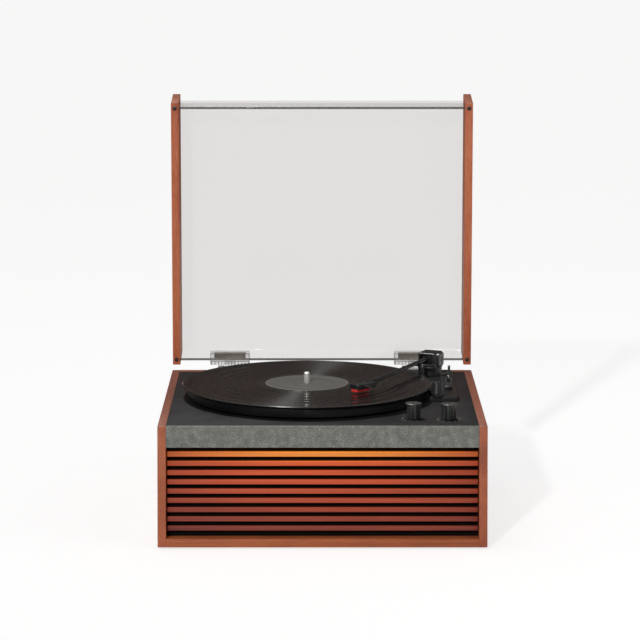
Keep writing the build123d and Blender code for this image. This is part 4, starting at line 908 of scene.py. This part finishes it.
label_paper = label_finish.surface(
    Base_Color=label_finish.mix(label_print * 0.75, label_shade, tint(150, 146, 132)),
    Roughness=0.55 + paper_fibre * 0.15,
    Specular_IOR_Level=0.25,
    Normal=label_finish.bump(paper_fibre, 0.00004, 0.5),
)
label_disc = turned("label_disc", label_profile, record_centre, 160)
ready(label_disc, "platter_unit", label_paper, "label_paper", "record_label")

# The spindle: a ground steel pin with a domed tip, turning in a flanged brass bearing.
polished = Finish("spindle_steel")
steel_rings = polished.noise(polished.place((60, 60, 1600)), 1.0, detail=2.0)
spindle_steel = polished.surface(
    Base_Color=polished.ramp(steel_rings, (0.3, (0.66, 0.65, 0.61)), (0.7, (0.84, 0.83, 0.79))),
    Roughness=0.36 + steel_rings * 0.14,
    Metallic=0.55,
    Normal=polished.bump(steel_rings, 0.00002, 0.4),
)
eased("spindle", spindle_steel, "spindle_steel", 0.0003)
brass = moulded("bearing_brass", (0.55, 0.38, 0.16), 0.3, 0.0005, Metallic=1.0)
keep("bearing_housing", brass)

# The drive: a small can motor under the deck, its pulley and a flat rubber belt.
keep("motor", moulded("motor_can", tint(150, 150, 148), 0.35, 0.0006, Metallic=0.9))
keep("motor_pulley", brass)
keep("drive_belt", soft_rubber)

# The amplifier board and the pots stand inside the cabinet, out of sight.
keep("amplifier_board", moulded("circuit_board", tint(24, 84, 52), 0.4, 0.0012, 0.0001))
black_plastic = moulded("black_plastic", (0.017, 0.017, 0.018), 0.4, 0.0005)
keep("control_pots", moulded("pot_case", tint(130, 130, 128), 0.4, 0.0006, Metallic=0.8))

# The sockets in the back: two phono barrels, a line input and a power inlet, each in a
# nickelled or black ring.
socket_chrome = moulded("socket_chrome", (0.62, 0.6, 0.56), 0.2, 0.0006, Metallic=1.0)
eased("rca_sockets", socket_chrome, "socket_chrome", 0.0003)
eased("aux_socket", black_plastic, "black_plastic", 0.0003)
eased("dc_socket", black_plastic, "black_plastic", 0.0003)

# The knobs: turned aluminium caps, anodised black, with upright streaks down the side painted lighter as
# highlights, a rim of lighter metal round the top edge as a painted highlight, and a pointer line.
anodised = Finish("knob_black")
# Painted highlight: the upright streaks are painted lighter into the colour, as the highlights down the
# side of the knob.
knob_highlight_streaks = anodised.noise(anodised.place((420, 420, 8)), 1.0, detail=3.0, rough=0.6)
knob_black = anodised.surface(
    Base_Color=anodised.ramp(
        knob_highlight_streaks,
        (0.34, (0.03, 0.033, 0.031)),
        (0.5, (0.075, 0.081, 0.078)),
        (0.68, (0.2, 0.21, 0.2)),
    ),
    Roughness=0.3 + knob_highlight_streaks * 0.16,
    Metallic=0.75,
    Specular_IOR_Level=0.5,
    Normal=anodised.bump(knob_highlight_streaks, 0.00005, 0.5),
)
# Painted highlight: the thin rim round each knob's top edge is a lighter metal, which paints the highlight
# on that edge.
knob_rim_highlight = moulded("knob_rim_highlight", (0.3, 0.31, 0.3), 0.28, 0.0004, Metallic=1.0)
for knob_name, knob_body in (("source_knob", "source_knob_unit"), ("volume_knob", "volume_knob_unit")):
    eased(knob_name, knob_black, "knob_black", 0.0002)
    knob_low, knob_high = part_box(knob_name)
    knob_radius = (knob_high.x - knob_low.x) / 2
    rim = turned(
        knob_name + "_rim",
        [
            (knob_radius - 0.0011, knob_high.z - 0.00005),
            (knob_radius - 0.0005, knob_high.z - 0.00002),
            (knob_radius - 0.00012, knob_high.z - 0.0004),
            (knob_radius - 0.00002, knob_high.z - 0.001),
            (knob_radius - 0.0007, knob_high.z - 0.0012),
        ],
        middle_of(knob_name),
    )
    ready(rim, knob_body, knob_rim_highlight, "knob_black")

# The printed marks on the deck: short light ticks in an arc round each knob. They are screen
# printed in pale grey.
print_grey = moulded("print_grey", tint(176, 176, 172), 0.6, 0.0008)
arc_growth = Growth(
    "ticks_on_an_arc",
    [
        ("Count", "Int"),
        ("Resolution", "Int"),
        ("Radius", "Float"),
        ("From", "Float"),
        ("Sweep", "Float"),
        ("Tick", "Vector"),
        ("Place", "Vector"),
        ("Material", "Material"),
    ],
)
arc_path = arc_growth.make(
    "GeometryNodeCurveArc",
    {"mode": "RADIUS"},
    {
        "Resolution": arc_growth.given["Resolution"],
        "Radius": arc_growth.given["Radius"],
        "Start Angle": arc_growth.given["From"],
        "Sweep Angle": arc_growth.given["Sweep"],
    },
)
arc_points = arc_growth.make(
    "GeometryNodeCurveToPoints",
    {"mode": "COUNT"},
    {"Curve": arc_path.outputs[0], "Count": arc_growth.given["Count"]},
)
arc_tick = arc_growth.make("GeometryNodeMeshCube", {}, {"Size": arc_growth.given["Tick"]})
arc_copies = arc_growth.make(
    "GeometryNodeInstanceOnPoints",
    {},
    {
        "Points": arc_points.outputs["Points"],
        "Instance": arc_tick.outputs[0],
        "Rotation": arc_points.outputs["Rotation"],
    },
)
arc_placed = arc_growth.make(
    "GeometryNodeTransform",
    {},
    {"Geometry": arc_copies.outputs[0], "Translation": arc_growth.given["Place"]},
)
arc_growth.finish(arc_placed.outputs[0])
tick_rise = 0.00012
tick_circle = 0.0135
tick_length = 0.0018
tick_width = 0.0007
for knob_name, tick_count, tick_start, tick_sweep in (
    ("source_knob", 5, 155.0, 130.0),
    ("volume_knob", 11, 120.0, 300.0),
):
    knob_middle = middle_of(knob_name)
    ticks = grow(
        knob_name + "_ticks",
        "ticks_on_an_arc",
        {
            "Count": tick_count,
            "Resolution": 64,
            "Radius": tick_circle,
            "From": math.radians(tick_start),
            "Sweep": math.radians(tick_sweep),
            "Tick": (tick_length, tick_width, 2 * tick_rise),
            "Place": (knob_middle.x, knob_middle.y, deck_z + tick_rise / 2),
            "Material": print_grey,
        },
    )
    ready(ticks, "cabinet", print_grey, "deck_black")

# The tonearm: satin black mouldings on a thin black tube, a steel tail weight, and a
# cartridge with a red stylus under the shell.
arm_satin = moulded(
    "arm_satin", (0.017, 0.0172, 0.018), 0.34, 0.0005, 0.00003, Specular_IOR_Level=0.5
)
arm_gloss = moulded("arm_gloss", (0.02, 0.02, 0.021), 0.2, 0.0005, 0.00001, Coat_Weight=0.5)
weight_steel = moulded("weight_steel", (0.09, 0.09, 0.092), 0.3, 0.0005, Metallic=0.9)
for arm_piece, arm_finish, arm_slot, arm_edge in (
    ("tonearm_base", arm_satin, "arm_black", 0.0004),
    ("arm_turret", arm_satin, "arm_black", 0.0004),
    ("arm_rest", arm_satin, "arm_black", 0.0003),
    ("arm_clip", arm_satin, "arm_black", 0.0002),
    ("cue_lift_bar", arm_satin, "arm_black", 0.0003),
    ("cue_lever", arm_satin, "arm_black", 0.0003),
    ("speed_slider", arm_satin, "arm_black", 0.0002),
    ("arm_tube", arm_gloss, "arm_black", 0.0002),
    ("counterweight", weight_steel, "spindle_steel", 0.0003),
    ("headshell", arm_satin, "arm_black", 0.0003),
    ("cartridge", arm_satin, "arm_black", 0.0003),
):
    eased(arm_piece, arm_finish, arm_slot, arm_edge)
red_plug = moulded("stylus_red", (0.78, 0.032, 0.026), 0.32, 0.0006, 0.00002)
eased("stylus", red_plug, "stylus_red", 0.0003)

# The lid's cheeks: two boards of the same veneer, grain along the lid, with rubber studs.
cheek_veneer = veneer("cheek_veneer", "z", tint(206, 122, 84), tint(184, 100, 66), tint(142, 72, 48))
for cheek in ("lid_cheek_left", "lid_cheek_right"):
    eased(cheek, cheek_veneer, "lid_wood", 0.0004)
stud_rubber = moulded("stud_rubber", (0.03, 0.012, 0.008), 0.6, 0.0006)
eased("lid_bumpers", stud_rubber, "soft_rubber", 0.0004)

# The dust cover: one sheet of lightly smoked acrylic, heat-bent at two edges. Seen edge on,
# its cut edges gather the tint and look dark.
clear = Finish("clear_acrylic")
haze = clear.noise(clear.place(), 6.0, detail=2.0)
clear_acrylic = clear.surface(
    Base_Color=clear.ramp(haze, (0.3, (0.33, 0.25, 0.205)), (0.7, (0.37, 0.29, 0.245))),
    Roughness=0.08 + haze * 0.04,
    Alpha=0.135 + haze * 0.02,
)
edge = Finish("acrylic_edge")
edge_grain = edge.noise(edge.place(), 300.0, detail=2.0)
acrylic_edge = edge.surface(
    Base_Color=edge.ramp(edge_grain, (0.3, (0.055, 0.05, 0.042)), (0.7, (0.085, 0.078, 0.066))),
    Roughness=0.25,
    Alpha=0.84 + edge_grain * 0.08,
)
cover = eased("dust_cover", clear_acrylic, "clear_acrylic", 0.0002, angle=60.0)
cover.data.materials.append(acrylic_edge)
lean = math.radians(7.0)
lid_up = Vector((0, math.cos(lean), math.sin(lean)))
edge_level = min(vertex.co.dot(lid_up) for vertex in cover.data.vertices)
edge_reach = 0.0006
for polygon in cover.data.polygons:
    highest = max(cover.data.vertices[i].co.dot(lid_up) for i in polygon.vertices)
    if highest - edge_level < edge_reach:
        polygon.material_index = 1

# The hinges: clear ribbed sockets on the lid, each with a grey-brown steel leaf inside and a
# clear knuckle below it, black bases on the rail and a steel pin.
socket_finish = Finish("clear_plastic")
socket_cloud = socket_finish.noise(socket_finish.place(), 160.0, detail=3.0)
clear_plastic = socket_finish.surface(
    Base_Color=socket_finish.ramp(socket_cloud, (0.3, (0.42, 0.41, 0.39)), (0.7, (0.6, 0.59, 0.56))),
    Roughness=0.12 + socket_cloud * 0.1,
    Alpha=0.2 + socket_cloud * 0.1,
)
rim_finish = Finish("clear_edge")
rim_cloud = rim_finish.noise(rim_finish.place(), 300.0, detail=2.0)
clear_edge = rim_finish.surface(
    Base_Color=rim_finish.ramp(rim_cloud, (0.3, (0.2, 0.195, 0.185)), (0.7, (0.34, 0.33, 0.31))),
    Roughness=0.2 + rim_cloud * 0.1,
    Alpha=0.62 + rim_cloud * 0.2,
)
eased("hinge_sockets", clear_plastic, "clear_plastic", 0.0004)
leaf_metal = moulded("leaf_metal", tint(152, 143, 124), 0.36, 0.0005, Metallic=0.35)
leaves = eased("hinge_leaves", leaf_metal, "leaf_metal", 0.0003)
leaves.data.materials.append(clear_plastic)
pin_middle = middle_of("hinge_pins")
knuckle_reach = 0.0122
for polygon in leaves.data.polygons:
    if polygon.center.z - pin_middle.z < knuckle_reach:
        polygon.material_index = 1
eased("hinge_bases", black_plastic, "black_plastic", 0.0004)
keep("hinge_pins", spindle_steel)

# The sockets' ribs: a row of thin ribs along the foot of each clear socket, and bright lines along its
# head, its foot and its sides, painted highlights for the light its edges catch. All lie just inside the
# clear plastic and lean with it.
def on_lid(x, along, above):
    """A point of the open lid, from the middle of its hinge pins."""
    return (
        x,
        pin_middle.y - along * math.sin(lean) + above * math.cos(lean),
        pin_middle.z + along * math.cos(lean) + above * math.sin(lean),
    )


sockets_low, sockets_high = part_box("hinge_sockets")
socket_width = 0.0506
rib_count = 12
rib_step = socket_width / rib_count
rib_width = 0.0009
rib_depth = 0.0007
rib_length = 0.0034
rib_above_pin = 0.0004
side_length = 0.0136
line_inset = 0.001
line_width = 0.0008
line_length = socket_width - 2 * line_inset
for side, socket_left in (("left", sockets_low.x), ("right", sockets_high.x - socket_width)):
    socket_middle = socket_left + socket_width / 2
    first_rib = socket_left + rib_step / 2
    first_side = socket_left + rib_width
    # Painted highlight: the sides, lip and foot rows are lines drawn inside the clear socket where its
    # edges catch the light. The ribs are real.
    for part, count, start_x, step, along, block in (
        ("ribs", rib_count, first_rib, rib_step, 0.0068, (rib_width, rib_depth, rib_length)),
        ("sides", 2, first_side, socket_width - 2 * rib_width, 0.0126, (rib_width, rib_depth, side_length)),
        ("lip", 1, socket_middle, 0.0, 0.0194, (line_length, rib_depth, line_width)),
        ("foot", 1, socket_middle, 0.0, 0.0093, (line_length, rib_depth, line_width)),
    ):
        ribs = grow(
            f"hinge_{part}_{side}",
            "row_of_blocks",
            {
                "Count": count,
                "Start": on_lid(start_x, along, rib_above_pin),
                "Step": (step, 0, 0),
                "Block": block,
                "Turn": (lean, 0, 0),
                "Material": clear_edge,
            },
        )
        ready(ribs, "lid_unit", clear_edge, "clear_plastic")

bpy.context.view_layer.update()
